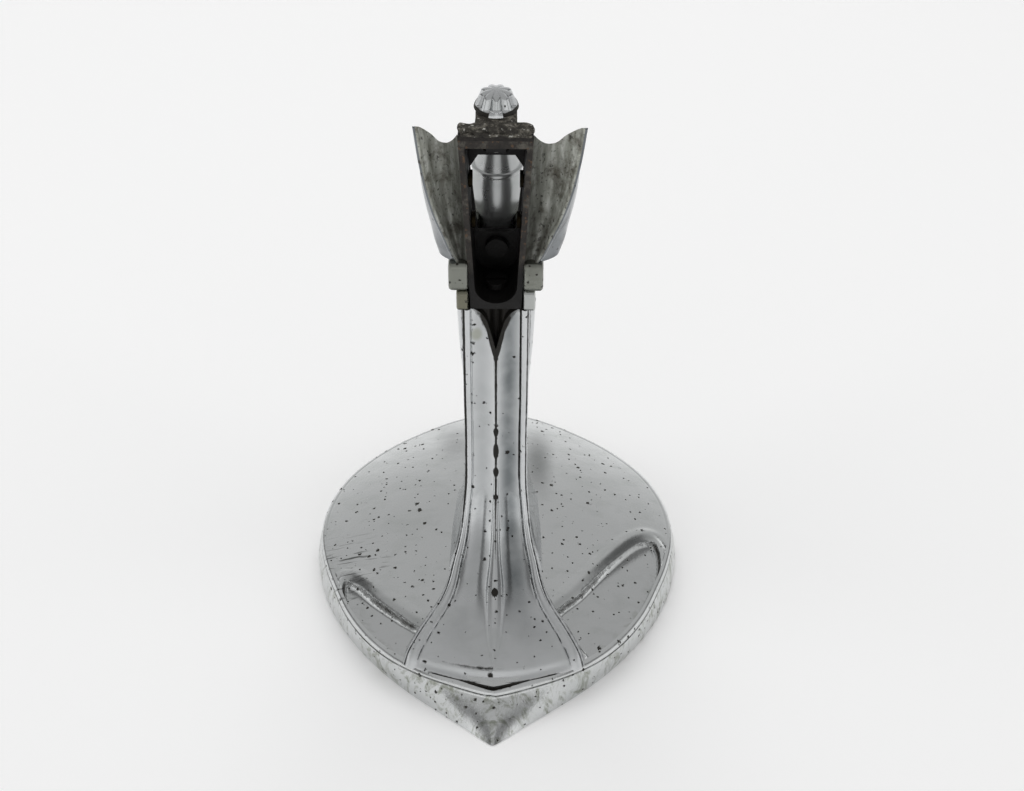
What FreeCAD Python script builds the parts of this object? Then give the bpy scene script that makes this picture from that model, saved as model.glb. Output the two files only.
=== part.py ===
"""Hood ornament: a teardrop die-cast base, a fluted stem and an open-backed winged head with a fluted cap nut.

Millimetres, +Z up. The origin is the centre of the base's footprint, on the plane that the rim stands on.
The pointed tail is towards -Y (the rear of the car) and the round nose towards +Y.
"""
import FreeCAD
import Part
import math
import os

# Driving dimensions: (alias, millimetres or a count, what it is)
DIMENSIONS = [
    ("base_half_width", 40.0, "half of the base's width"),
    ("base_nose", 42.4, "widest line to the nose"),
    ("base_tail", 55.6, "widest line to the tip of the prow"),
    ("widest_y", 6.0, "where the base is widest"),
    ("rim_tail", 49.0, "widest line to the blunt tail of the upper rim"),
    ("skirt_height", 7.0, "height of the skirt"),
    ("rim_height", 8.2, "height of the rolled rim"),
    ("dome_height", 14.6, "height of the dome under the stem"),
    ("base_wall", 3.2, "thickness of the die-cast wall"),
    ("leaf_depth", 1.5, "depth of the two leaf-shaped recesses"),
    ("boss_radius", 5.6, "bosses inside the base"),
    ("boss_foot", 0.8, "how far the mounting bosses stop above the rim's plane"),
    ("mount_half_spacing", 27.0, "half of the distance between the mounting holes"),
    ("insert_radius", 4.0, "threaded insert, outside"),
    ("insert_bore", 2.5, "threaded insert, M6 core radius"),
    ("insert_length", 6.2, "threaded insert, length"),
    ("stem_screw_front_y", 8.0, "front stem screw"),
    ("stem_screw_rear_y", -12.0, "rear stem screw"),
    ("stem_screw_radius", 2.0, "M4 shank"),
    ("stem_screw_head", 3.6, "radius of the head"),
    ("stem_screw_head_height", 2.8, "height of the head"),
    ("screw_slot", 1.1, "width of the slot in an M4 head"),
    ("screw_slot_depth", 1.2, "depth of that slot"),
    ("stem_screw_seat", 7.0, "height of the seats inside the base"),
    ("stem_screw_front_top", 20.0, "tip of the front stem screw"),
    ("stem_screw_rear_top", 17.0, "tip of the rear stem screw"),
    ("screw_washer_radius", 4.2, "plain washer, outside"),
    ("screw_washer_height", 0.8, "plain washer, thickness"),
    ("stem_top", 78.0, "top of the stem"),
    ("foot_inset", 1.2, "how far the stem's foot stays inside the rim"),
    ("notch_depth", 9.5, "funnel-shaped notch at the rear of the stem's top"),
    ("notch_half_width", 4.4, "notch, half its width"),
    ("notch_cut", 5.5, "how far the notch runs in from the rear"),
    ("channel_rear_y", -3.4, "rear edges of the channel's walls"),
    ("channel_front_y", 8.8, "front of the channel's web"),
    ("channel_foot_half", 5.0, "channel's half width at its foot"),
    ("channel_head_half", 7.1, "channel's half width at its top"),
    ("channel_top", 117.5, "top of the channel"),
    ("channel_wall", 1.1, "thickness of the channel's walls and web"),
    ("channel_bridge", 2.0, "thickness of the bridge across the top"),
    ("channel_floor", 1.6, "thickness of the floor at its middle"),
    ("shoulder_half", 3.9, "half width of the tongue between the sloping shoulders"),
    ("shoulder_angle", 43.5, "slope of the shoulders, in degrees"),
    ("window_foot", 88.8, "lower edge of the window"),
    ("window_shoulder", 104.2, "where the window's top corners begin"),
    ("window_top", 106.9, "upper edge of the window"),
    ("window_foot_half", 3.7, "half width of the lower edge"),
    ("window_shoulder_half", 5.2, "half width at the shoulders"),
    ("window_top_half", 3.6, "half width of the upper edge"),
    ("channel_screw_y", 2.6, "screw through the channel's floor"),
    ("small_screw_radius", 1.25, "M2.5 shank"),
    ("small_screw_head", 2.2, "radius of the small head"),
    ("small_screw_head_height", 1.4, "height of the small head"),
    ("small_slot", 0.8, "width of the slot in a small head"),
    ("small_slot_depth", 0.7, "depth of that slot"),
    ("channel_screw_reach", 8.0, "depth of the channel screw in the stem"),
    ("strut_y", 14.4, "axis of the turned front strut"),
    ("strut_neck", 3.4, "radius of the strut inside the collars"),
    ("strut_belly", 5.2, "largest radius of the strut"),
    ("strut_belly_z", 95.6, "height of the belly"),
    ("strut_belly_half", 9.4, "half of the belly's height"),
    ("strut_bead_z", 100.4, "height of the turned bead"),
    ("strut_bead", 0.7, "radius of the bead's section"),
    ("strut_cone_foot", 4.7, "radius at the foot of the upper cone"),
    ("strut_cone_top_z", 105.4, "height where the upper cone ends"),
    ("strut_top", 3.6, "radius of the strut's top"),
    ("strut_tip_height", 2.4, "height of the strut's rounded tip"),
    ("strut_screw_z", 85.6, "height of the strut's screw"),
    ("strut_screw_reach", 6.6, "how far the strut's screw passes the web"),
    ("collar_rear_y", -4.6, "rear faces of the collars' lugs"),
    ("collar_joint_z", 82.8, "where the two collars meet"),
    ("collar_top_z", 89.4, "top of the upper collar"),
    ("upper_collar_half", 9.3, "half width of the upper collar"),
    ("lower_collar_half", 7.8, "half width of the lower collar"),
    ("collar_round_y", 11.6, "where the collars' round noses begin"),
    ("collar_edge", 0.6, "rounding of the collars' edges"),
    ("gasket_height", 1.0, "thickness of the gasket"),
    ("plate_height", 1.5, "thickness of the top plate"),
    ("plate_half", 7.2, "half width of the top plate"),
    ("plate_rear_y", -3.9, "rear edge of the top plate"),
    ("plate_front_y", -1.2, "front edge of the top plate beside its tongue"),
    ("plate_tongue", 3.9, "half width of the tongue round the stud"),
    ("stud_y", 4.2, "axis of the cap stud"),
    ("stud_radius", 2.0, "M4 stud"),
    ("stud_foot", 111.0, "lower end of the stud"),
    ("stud_head", 122.5, "upper end of the stud"),
    ("stud_nut_half", 3.3, "half of the nut's width across flats"),
    ("stud_nut_height", 3.0, "height of the nut"),
    ("stud_washer_radius", 3.4, "washer under the bridge, outside"),
    ("stud_washer_height", 0.6, "washer under the bridge, thickness"),
    ("cap_foot_radius", 4.25, "cap nut, radius of its foot"),
    ("cap_waist_radius", 3.95, "cap nut, radius above the foot"),
    ("cap_head_radius", 3.15, "cap nut, radius under its crown"),
    ("cap_foot_height", 0.8, "cap nut, height of the foot"),
    ("cap_wall_height", 1.9, "cap nut, height of the fluted wall"),
    ("cap_crown_height", 0.95, "cap nut, height of the crown"),
    ("cap_gap", 0.05, "running gap under the cap nut"),
    ("cap_clearance", 0.05, "running clearance on the stud"),
    ("cap_bore_depth", 2.7, "depth of the cap nut's bore"),
    ("flute_count", 8, "flutes round the cap nut"),
    ("flute_radius", 1.3, "radius of a flute's cutter"),
    ("flute_depth", 0.4, "depth of a flute at the waist"),
    ("rivet_y", 2.4, "rivets through the wings' roots"),
    ("rivet_low_z", 95.5, "lower rivets"),
    ("rivet_high_z", 105.0, "upper rivets"),
    ("rivet_radius", 0.9, "radius of a rivet's shank"),
    ("rivet_head", 1.7, "radius of a rivet's head"),
    ("rivet_head_height", 0.7, "height of a rivet's head"),
    ("rivet_reach", 2.4, "depth of a rivet in the wing"),
    ("wing_rim", 1.0, "thickness of the wings' rims"),
    ("right_span", 1.09, "reach of the right wing, as a share of its sections"),
    ("left_span", 0.91, "reach of the left wing, as a share of its sections"),
    ("wing_edge_run", 8.0, "how far behind the rims the cutter of the top edge starts"),
    ("wing_edge_slope", 0.9, "how steeply the top edge falls towards the front"),
]

doc = FreeCAD.newDocument("hood_ornament")
sheet = doc.addObject("Spreadsheet::Sheet", "Dims")
for row, (alias, size, meaning) in enumerate(DIMENSIONS, start=1):
    sheet.set("A%d" % row, meaning)
    sheet.set("B%d" % row, str(size))
    sheet.setAlias("B%d" % row, alias)
doc.recompute()

PIECES = []
SIZE = {alias: float(sheet.get(alias)) for alias, _, _ in DIMENSIONS}


def point(x, y, z=0.0):
    """A vector from three numbers."""
    return FreeCAD.Vector(x, y, z)


def bound(kind, name, turn=None, **sizes):
    """Adds a primitive and binds its properties to expressions; x, y and z are its place."""
    thing = doc.addObject(kind, name)
    if turn:
        thing.Placement = FreeCAD.Placement(point(0, 0), FreeCAD.Rotation(point(*turn[0]), turn[1]))
    for key, expression in sizes.items():
        path = "Placement.Base." + key if key in ("x", "y", "z") else key
        thing.setExpression(path, expression.replace("$", "Dims."))
    return thing


def cylinder(name, radius, height, turn=None, **place):
    """A Part::Cylinder along +Z, or along another axis with turn."""
    return bound("Part::Cylinder", name, turn, Radius=radius, Height=height, **place)


def fuse(name, shapes):
    """Joins primitives into one solid."""
    whole = doc.addObject("Part::MultiFuse", name)
    whole.Shapes = shapes
    whole.Refine = True
    return whole


def cut(name, base, tools):
    """Takes the tools away from the base."""
    tool = tools[0] if len(tools) == 1 else fuse(name + "_tools", tools)
    result = doc.addObject("Part::Cut", name)
    result.Base = base
    result.Tool = tool
    return result


def piece(thing, label):
    """Marks an object as one sub-part and gives it the label that names its file."""
    thing.Label = label
    PIECES.append(thing)
    return thing


def free_form(label, shape):
    """A casting whose surfaces are lofted, kept as one Part::Feature."""
    feature = doc.addObject("Part::Feature", label + "_casting")
    feature.Shape = shape
    feature.Placement = FreeCAD.Placement()
    return piece(feature, label)


def spline(points, start=None, end=None):
    """An edge through the points, with tangents where they are given."""
    curve = Part.BSplineCurve()
    if start is None and end is None:
        curve.interpolate(Points=points)
    else:
        tangents = [start or point(0, 0)] + [point(0, 0)] * (len(points) - 2) + [end or point(0, 0)]
        flags = [start is not None] + [False] * (len(points) - 2) + [end is not None]
        curve.interpolate(Points=points, Tangents=tangents, TangentFlags=flags)
    return curve.toShape()


# The base's outline as (half width, distance from the widest line), both as fractions: the nose, the sharp
# tail of the lower edge and the blunt tail of the upper rim
NOSE = [(0.985, 0.16), (0.89, 0.41), (0.69, 0.648), (0.44, 0.83), (0.22, 0.943)]
POINTED_TAIL = [(0.973, 0.149), (0.904, 0.303), (0.796, 0.447), (0.645, 0.594), (0.469, 0.724),
                (0.2885, 0.8325), (0.1346, 0.921)]
BLUNT_TAIL = [(0.957, 0.224), (0.9, 0.36), (0.805, 0.545), (0.7, 0.675), (0.575, 0.78), (0.42, 0.864),
              (0.22, 0.94)]


def teardrop(z, inset, tail, fractions):
    """The base's outline at a height: on each side a spline to the round nose and one to the tip of the tail."""
    scale = (SIZE["base_half_width"] - inset) / SIZE["base_half_width"]
    half = SIZE["base_half_width"] * scale
    mid = SIZE["widest_y"]
    edges = []
    for side in (1, -1):
        wide = point(side * half, mid, z)
        nose = (SIZE["base_nose"] * scale, NOSE, point(-side, 0))
        rear = (-tail * scale, fractions, None)
        for reach, knots, end in (nose, rear):
            through = [point(side * half * a, mid + reach * b, z) for a, b in knots]
            tip = point(0, mid + reach, z)
            outward = point(0, math.copysign(1, reach))
            edges.append(spline([wide] + through + [tip], outward, end))
    return Part.Wire(Part.__sortEdges__(edges))


def dome_height(inset):
    """Height of the dome at a distance inside the rim: a parabola that is level at the middle."""
    start = 2.0
    share = min(1.0, (inset - start) / (SIZE["base_half_width"] - start))
    rise = SIZE["dome_height"] - SIZE["rim_height"]
    return SIZE["rim_height"] + rise * (1 - (1 - share) ** 2)


def base_solid():
    """The filled base: skirt, rolled rim and dome."""
    pointed = teardrop(0, 0, SIZE["base_tail"], POINTED_TAIL)
    skirt_top = teardrop(SIZE["skirt_height"], 0.9, SIZE["rim_tail"], BLUNT_TAIL)
    rim_top = teardrop(SIZE["rim_height"], 2.0, SIZE["rim_tail"], BLUNT_TAIL)
    solid = Part.makeLoft([pointed, skirt_top], True, True)
    solid = solid.fuse(Part.makeLoft([skirt_top, rim_top], True, True))
    levels = [2.0, 3.5, 7.0, 12.0, 18.0, 25.0, 32.0, 38.0]
    rings = [teardrop(dome_height(i), i, SIZE["rim_tail"], BLUNT_TAIL) for i in levels]
    return solid.fuse(Part.makeLoft(rings, True, False)).removeSplitter()


# The two leaf recesses, in millimetres from the origin; the right-hand one reaches further forward
LEAF_RIGHT = [(13.2, -22.0), (18.1, -16.4), (24.8, -7.0), (30.6, 0.2), (34.4, 2.0), (35.9, -2.4), (34.9, -10.4),
              (32.2, -18.4), (28.0, -26.4), (23.4, -32.2), (21.2, -32.6), (18.4, -30.0), (15.2, -25.6)]
LEAF_LEFT = [(-14.6, -27.4), (-20.0, -22.6), (-25.5, -17.4), (-29.8, -12.4), (-32.6, -11.0), (-32.6, -15.4),
             (-29.6, -22.4), (-25.2, -29.2), (-21.4, -33.4), (-19.4, -33.4), (-16.8, -31.0)]


def leaf(outline):
    """A tall prism on a closed spline through the outline."""
    curve = Part.BSplineCurve()
    curve.interpolate(Points=[point(x, y, SIZE["skirt_height"]) for x, y in outline], PeriodicFlag=True)
    return Part.Face(Part.Wire(curve.toShape())).extrude(point(0, 0, SIZE["dome_height"]))


def upright(radius, x, y, foot, top):
    """A plain cylinder between two heights."""
    return Part.makeCylinder(radius, top - foot, point(x, y, foot))


MOUNT_Y = (SIZE["mount_half_spacing"], -SIZE["mount_half_spacing"])
STEM_SCREWS = {"front": SIZE["stem_screw_front_y"], "rear": SIZE["stem_screw_rear_y"]}


def make_base():
    """Die-cast shell with leaf recesses, two mounting bosses and two seats for the stem's screws."""
    full = base_solid()
    lowered = full.copy()
    lowered.translate(point(0, 0, -SIZE["leaf_depth"]))
    shell = full
    for outline in (LEAF_RIGHT, LEAF_LEFT):
        shell = shell.cut(leaf(outline).cut(lowered))
    wall = SIZE["base_wall"]
    shrink = FreeCAD.Matrix()
    shrink.scale(1 - wall / SIZE["base_half_width"], 1 - wall / SIZE["rim_tail"], 1.0)
    shrink.move(point(0, 0, -wall))
    hollow = full.transformGeometry(shrink)
    shell = shell.cut(hollow)
    top = SIZE["dome_height"] - wall / 2
    for y in MOUNT_Y:
        boss = upright(SIZE["boss_radius"], 0, y, SIZE["boss_foot"], top).common(full)
        shell = shell.fuse(boss)
        end = SIZE["boss_foot"] + SIZE["insert_length"]
        shell = shell.cut(upright(SIZE["insert_radius"], 0, y, 0, end))
    for y in STEM_SCREWS.values():
        boss = upright(SIZE["boss_radius"], 0, y, SIZE["stem_screw_seat"], top).common(full)
        shell = shell.fuse(boss)
        shell = shell.cut(upright(SIZE["stem_screw_radius"] + 0.1, 0, y, 0, SIZE["dome_height"] + 1))
    free_form("base_casting", shell.removeSplitter())
    return full


# The stem's sections: height, ridge y, bead half width, bead y, side half width, nose y
STEM_LEVELS = [
    (6.0, -40.6, 19.2, -34.2, 13.4, 34.0),
    (8.4, -39.8, 18.7, -33.6, 12.6, 32.0),
    (10.2, -37.4, 18.0, -32.4, 11.9, 30.0),
    (12.0, -32.6, 16.2, -29.6, 10.8, 28.2),
    (15.0, -24.6, 11.7, -22.4, 9.2, 26.0),
    (20.0, -16.2, 8.8, -14.2, 7.8, 23.4),
    (30.0, -8.4, 6.85, -6.8, 6.6, 20.8),
    (42.0, -5.4, 6.5, -4.2, 6.1, 19.6),
    (56.0, -4.4, 6.6, -3.4, 6.2, 19.0),
    (66.0, -4.4, 6.65, -3.4, 6.6, 18.9),
    (78.0, -4.4, 6.7, -3.4, 6.9, 18.9),
]


def stem_section(z, ridge_y, bead, bead_y, side, nose_y):
    """Two hollow flutes that meet at the rear ridge, two sides and a round nose."""
    ridge = point(0, ridge_y, z)
    edge = point(bead, bead_y, z)
    flute = point(bead * 0.55, (ridge_y + bead_y) / 2 + 0.8, z)
    flank = point(side, bead_y + (nose_y - bead_y) * 0.6, z)
    nose = point(0, nose_y, z)
    right = [spline([ridge, flute, edge]), spline([edge, flank, nose], None, point(-1, 0))]
    left_flank = point(-flank.x, flank.y, z)
    left_edge = point(-edge.x, edge.y, z)
    left_flute = point(-flute.x, flute.y, z)
    left = [spline([nose, left_flank, left_edge], point(-1, 0), None), spline([left_edge, left_flute, ridge])]
    return Part.Wire(right + left)


# Half of the notch, as (half width, depth), both as fractions
NOTCH = [(1.0, 0.0), (0.68, 0.13), (0.41, 0.3), (0.2, 0.63), (0.0, 1.0)]


def make_stem(dome):
    """Fluted stem whose foot lies on the dome, with tapped holes for its screws."""
    column = Part.makeLoft([stem_section(*level) for level in STEM_LEVELS], True, False)
    outline = teardrop(0, SIZE["foot_inset"], SIZE["rim_tail"], BLUNT_TAIL)
    stem = column.cut(dome).common(Part.Face(outline).extrude(point(0, 0, SIZE["stem_top"])))
    top = SIZE["stem_top"]
    start = SIZE["channel_rear_y"] - SIZE["notch_cut"] / 2
    sides = [(SIZE["notch_half_width"] * a, top - SIZE["notch_depth"] * b) for a, b in NOTCH]
    corners = [point(x, start, z) for x, z in sides] + [point(-x, start, z) for x, z in reversed(sides[:-1])]
    funnel = Part.Face(Part.makePolygon(corners + corners[:1])).extrude(point(0, SIZE["notch_cut"], 0))
    stem = stem.cut(funnel)
    for name, y in STEM_SCREWS.items():
        tip = SIZE["stem_screw_%s_top" % name]
        stem = stem.cut(upright(SIZE["stem_screw_radius"], 0, y, 0, tip))
    depth = SIZE["channel_screw_reach"]
    stem = stem.cut(upright(SIZE["small_screw_radius"], 0, SIZE["channel_screw_y"], top - depth, top))
    solids = sorted(stem.Solids, key=lambda s: s.Volume)
    free_form("stem_casting", solids[-1])


def make_inserts():
    """Two steel inserts with M6 threads, pressed into the base's bosses."""
    for name, sign in (("front", "1"), ("rear", "-1")):
        place = {"y": sign + " * $mount_half_spacing", "z": "$boss_foot"}
        body = cylinder("insert_body_" + name, "$insert_radius", "$insert_length", **place)
        bore = cylinder("insert_bore_" + name, "$insert_bore", "$insert_length", **place)
        piece(cut("insert_cut_" + name, body, [bore]), "threaded_insert_" + name)


def make_stem_screws():
    """Two cheese-head screws with plain washers that hold the stem from inside the base."""
    for name in STEM_SCREWS:
        y = "$stem_screw_%s_y" % name
        seat = "$stem_screw_seat - $screw_washer_height"
        disc = cylinder("screw_disc_" + name, "$screw_washer_radius", "$screw_washer_height", y=y, z=seat)
        eye = cylinder("screw_eye_" + name, "$stem_screw_radius + 0.1", "$screw_washer_height", y=y, z=seat)
        piece(cut("screw_washer_cut_" + name, disc, [eye]), "stem_screw_washer_" + name)
        head = cylinder("screw_head_" + name, "$stem_screw_head", "$stem_screw_head_height",
                        y=y, z=seat + " - $stem_screw_head_height")
        shank = cylinder("screw_shank_" + name, "$stem_screw_radius", "$stem_screw_%s_top - (%s)" % (name, seat),
                         y=y, z=seat)
        slot = bound("Part::Box", "screw_slot_" + name, Length="$stem_screw_head * 2",
                     Width="$screw_slot", Height="$screw_slot_depth", x="-$stem_screw_head",
                     y=y + " - $screw_slot / 2",
                     z=seat + " - $stem_screw_head_height")
        solid = fuse("screw_body_" + name, [head, shank])
        piece(cut("screw_cut_" + name, solid, [slot]), "stem_screw_" + name)


# A Part::Wedge tapers along its own Y, which is turned to stand along +Z; its own Z then runs towards -Y
STANDING = ((1, 0, 0), 90)
TAPER = "($channel_head_half - $channel_foot_half) / ($channel_top - $stem_top)"


def channel_half(height, inside):
    """Expression for the channel's half width at a height, outside or inside its walls."""
    wall = " - $channel_wall" if inside else ""
    return "($channel_foot_half + (%s - $stem_top) * %s%s)" % (height, TAPER, wall)


def standing_wedge(name, foot_z, top_z, foot_half, top_half, rear_y, front_y):
    """A block between two heights whose half width changes evenly from foot to top."""
    return bound("Part::Wedge", name, STANDING, Ymin=foot_z, Ymax=top_z, Xmin="-" + foot_half, Xmax=foot_half,
                 X2min="-" + top_half, X2max=top_half, Zmin="-(%s)" % front_y, Zmax="-(%s)" % rear_y,
                 Z2min="-(%s)" % front_y, Z2max="-(%s)" % rear_y)


def channel_block(name, rear_y, front_y):
    """The channel's outer block, from the stem's top to the gasket."""
    return standing_wedge(name, "$stem_top", "$channel_top", "$channel_foot_half", "$channel_head_half",
                          rear_y, front_y)


def shoulders(name, drop):
    """Two tilted boxes that cut the corners beside the tongue, sloping down to the front."""
    boxes = []
    for side, place in (("left", "-$shoulder_half - 6"), ("right", "$shoulder_half")):
        boxes.append(bound("Part::Box", name + "_" + side, turn=((1, 0, 0), -SIZE["shoulder_angle"]),
                           Length="6 mm", Width="20 mm", Height="15 mm", x=place, z="$channel_top - %s" % drop))
    return boxes


def make_channel():
    """Upright channel, open to the rear, with a round-bottomed slot and a shield-shaped window."""
    block = channel_block("channel_outer", "$channel_rear_y", "$channel_front_y")
    low = "($stem_top + $channel_floor + $channel_foot_half - $channel_wall)"
    high = "($channel_top - $channel_bridge)"
    web = "$channel_front_y - $channel_wall"
    rear = "$channel_rear_y - 1"
    slot = standing_wedge("channel_slot", low, high, channel_half(low, True), channel_half(high, True), rear, web)
    bottom = cylinder("channel_slot_bottom", channel_half(low, True), "%s - (%s)" % (web, rear),
                      turn=((1, 0, 0), -90), y=rear, z=low)
    slot = cut("channel_slot_roofed", slot, shoulders("slot_shoulder", "$channel_wall * 1.4"))
    pane = standing_wedge("window_pane", "$window_foot", "$window_shoulder", "$window_foot_half",
                          "$window_shoulder_half", "0 mm", "$channel_front_y + 1")
    arch = standing_wedge("window_arch", "$window_shoulder", "$window_top", "$window_shoulder_half",
                          "$window_top_half", "0 mm", "$channel_front_y + 1")
    screw_hole = cylinder("channel_screw_hole", "$small_screw_radius", "$channel_floor + 1",
                          y="$channel_screw_y", z="$stem_top - 0.5")
    screw_seat = cylinder("channel_screw_seat", "$small_screw_head", "3 mm",
                          y="$channel_screw_y", z="$stem_top + $channel_floor")
    stud_hole = cylinder("channel_stud_hole", "$stud_radius + 0.05", "$channel_bridge + 1",
                         y="$stud_y", z=high + " - 0.5")
    strut_hole = cylinder("channel_strut_hole", "$small_screw_radius", "$channel_wall + 1",
                          turn=((1, 0, 0), -90), y=web + " - 0.5", z="$strut_screw_z")
    tools = [slot, bottom, pane, arch, screw_hole, screw_seat, stud_hole, strut_hole]
    tools += shoulders("channel_shoulder", "0")
    tools += [rivet_shank("channel_rivet_hole_%s" % key, *at) for key, at in RIVETS.items()]
    piece(cut("channel_cut", block, tools), "channel_frame")


def make_channel_screw():
    """Screw through the channel's floor into the stem."""
    seat = "$stem_top + $channel_floor"
    head = cylinder("channel_screw_head", "$small_screw_head", "$small_screw_head_height",
                    y="$channel_screw_y", z=seat)
    shank = cylinder("channel_screw_shank", "$small_screw_radius", "$channel_floor + $channel_screw_reach",
                     y="$channel_screw_y", z="$stem_top - $channel_screw_reach")
    slot = bound("Part::Box", "channel_screw_slot", Length="$small_screw_head * 2",
                 Width="$small_slot", Height="$small_slot_depth", x="-$small_screw_head",
                 y="$channel_screw_y - $small_slot / 2",
                 z=seat + " + $small_screw_head_height - $small_slot_depth")
    solid = fuse("channel_screw_body", [head, shank])
    piece(cut("channel_screw_cut", solid, [slot]), "channel_screw")


RIVETS = {
    "left_low": (-1, "$rivet_low_z"),
    "left_high": (-1, "$rivet_high_z"),
    "right_low": (1, "$rivet_low_z"),
    "right_high": (1, "$rivet_high_z"),
}


def rivet_shank(name, side, height):
    """The cylinder of a rivet's shank, from inside the channel's wall out into the wing."""
    turn = ((0, 1, 0), 90 * side)
    start = channel_half(height, True) + " - 0.3"
    length = "$channel_wall + $rivet_reach + 0.3"
    return cylinder(name, "$rivet_radius", length, turn=turn, x="%d * (%s)" % (side, start),
                    y="$rivet_y", z=height)


def make_rivets():
    """Four rivets that hold the wings to the channel's walls."""
    for key, (side, height) in RIVETS.items():
        shank = rivet_shank("rivet_shank_" + key, side, height)
        start = channel_half(height, True) + " - $rivet_head_height - 0.1"
        head = cylinder("rivet_head_" + key, "$rivet_head", "$rivet_head_height", turn=((0, 1, 0), 90 * side),
                        x="%d * (%s)" % (side, start), y="$rivet_y", z=height)
        piece(fuse("rivet_body_" + key, [head, shank]), "wing_rivet_" + key)


def strut_parts():
    """The turned strut's shapes: neck, belly, bead, cone and rounded tip."""
    at = {"y": "$strut_y"}
    neck = cylinder("strut_neck", "$strut_neck", "$strut_belly_z - $stem_top", z="$stem_top", **at)
    belly = bound("Part::Ellipsoid", "strut_belly", Radius1="$strut_belly_half", Radius2="$strut_belly",
                  Radius3="$strut_belly", z="$strut_belly_z", **at)
    bead = bound("Part::Torus", "strut_bead", Radius1="$strut_cone_foot - 0.2", Radius2="$strut_bead",
                 z="$strut_bead_z", **at)
    cone = bound("Part::Cone", "strut_cone", Radius1="$strut_cone_foot", Radius2="$strut_top",
                 Height="$strut_cone_top_z - $strut_bead_z", z="$strut_bead_z", **at)
    tip = bound("Part::Ellipsoid", "strut_tip", Radius1="$strut_tip_height", Radius2="$strut_top",
                Radius3="$strut_top", z="$strut_cone_top_z", **at)
    return [neck, belly, bead, cone, tip]


def make_strut():
    """Turned and polished strut in front of the window, standing on the stem."""
    solid = fuse("strut_solid", strut_parts())
    hole = cylinder("strut_screw_socket", "$small_screw_radius", "$strut_screw_reach", turn=((1, 0, 0), -90),
                    y="$channel_front_y", z="$strut_screw_z")
    piece(cut("strut_cut", solid, [hole]), "front_strut")


def make_strut_screw():
    """Screw from inside the channel, through the upper collar, into the strut."""
    web = "$channel_front_y - $channel_wall"
    turn = ((1, 0, 0), -90)
    head = cylinder("strut_screw_head", "$small_screw_head", "$small_screw_head_height", turn=turn,
                    y=web + " - $small_screw_head_height", z="$strut_screw_z")
    shank = cylinder("strut_screw_shank", "$small_screw_radius", "$channel_wall + $strut_screw_reach", turn=turn,
                     y=web, z="$strut_screw_z")
    piece(fuse("strut_screw_body", [head, shank]), "strut_screw")


def make_collar(label, half, foot_z, top_z, with_screw):
    """A stepped collar: straight sides, a round nose, and lugs where its open rear ends."""
    height = "%s - %s" % (top_z, foot_z)
    sides = bound("Part::Box", label + "_sides", Length=half + " * 2", Height=height,
                  Width="$collar_round_y - $collar_rear_y", x="-" + half, y="$collar_rear_y", z=foot_z)
    nose = cylinder(label + "_nose", half, height, y="$collar_round_y", z=foot_z)
    solid = fuse(label + "_solid", [sides, nose])
    space = channel_block(label + "_channel_space", "$channel_rear_y - 3", "$channel_front_y")
    neck = cylinder(label + "_strut_space", "$strut_neck", "$channel_top - $stem_top", y="$strut_y", z="$stem_top")
    tools = [space, neck]
    if with_screw:
        tools.append(bound("Part::Ellipsoid", label + "_belly_space", Radius1="$strut_belly_half",
                           Radius2="$strut_belly", Radius3="$strut_belly", y="$strut_y", z="$strut_belly_z"))
        tools.append(cylinder(label + "_screw_space", "$small_screw_radius", "$strut_screw_reach",
                              turn=((1, 0, 0), -90), y="$channel_front_y", z="$strut_screw_z"))
    return piece(cut(label + "_cut", solid, tools), label)


def tongued_plate(name, half, foot_z, height):
    """A flat cross-bar at the rear with a round-ended tongue that carries the stud."""
    bar = bound("Part::Box", name + "_bar", Length=half + " * 2", Height=height,
                Width="$plate_front_y - $plate_rear_y", x="-" + half, y="$plate_rear_y", z=foot_z)
    tongue = bound("Part::Box", name + "_tongue", Length="$plate_tongue * 2", Height=height,
                   Width="$stud_y - $plate_rear_y", x="-$plate_tongue", y="$plate_rear_y", z=foot_z)
    nose = cylinder(name + "_nose", "$plate_tongue", height, y="$stud_y", z=foot_z)
    solid = fuse(name + "_solid", [bar, tongue, nose])
    hole = cylinder(name + "_hole", "$stud_radius + 0.05", height, y="$stud_y", z=foot_z)
    return cut(name + "_cut", solid, [hole])


def make_top():
    """Gasket and top plate, clamped by the stud."""
    piece(tongued_plate("gasket", "($plate_half - 0.3)", "$channel_top", "$gasket_height"), "top_gasket")
    piece(tongued_plate("plate", "$plate_half", "$channel_top + $gasket_height", "$plate_height"), "top_plate")


def make_stud():
    """Cap stud with its nut and washer under the channel's bridge."""
    piece(cylinder("stud", "$stud_radius", "$stud_head - $stud_foot", y="$stud_y", z="$stud_foot"), "cap_stud")
    under = "($channel_top - $channel_bridge - $stud_washer_height)"
    disc = cylinder("stud_washer_disc", "$stud_washer_radius", "$stud_washer_height", y="$stud_y", z=under)
    eye = cylinder("stud_washer_eye", "$stud_radius + 0.05", "$stud_washer_height", y="$stud_y", z=under)
    piece(cut("stud_washer_cut", disc, [eye]), "stud_washer")
    foot = under + " - $stud_nut_height"
    hexagon = bound("Part::Prism", "stud_nut_hexagon", Circumradius="$stud_nut_half / cos(30 deg)",
                    Height="$stud_nut_height", y="$stud_y", z=foot)
    bore = cylinder("stud_nut_bore", "$stud_radius", "$stud_nut_height", y="$stud_y", z=foot)
    piece(cut("stud_nut_cut", hexagon, [bore]), "stud_nut")


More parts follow.
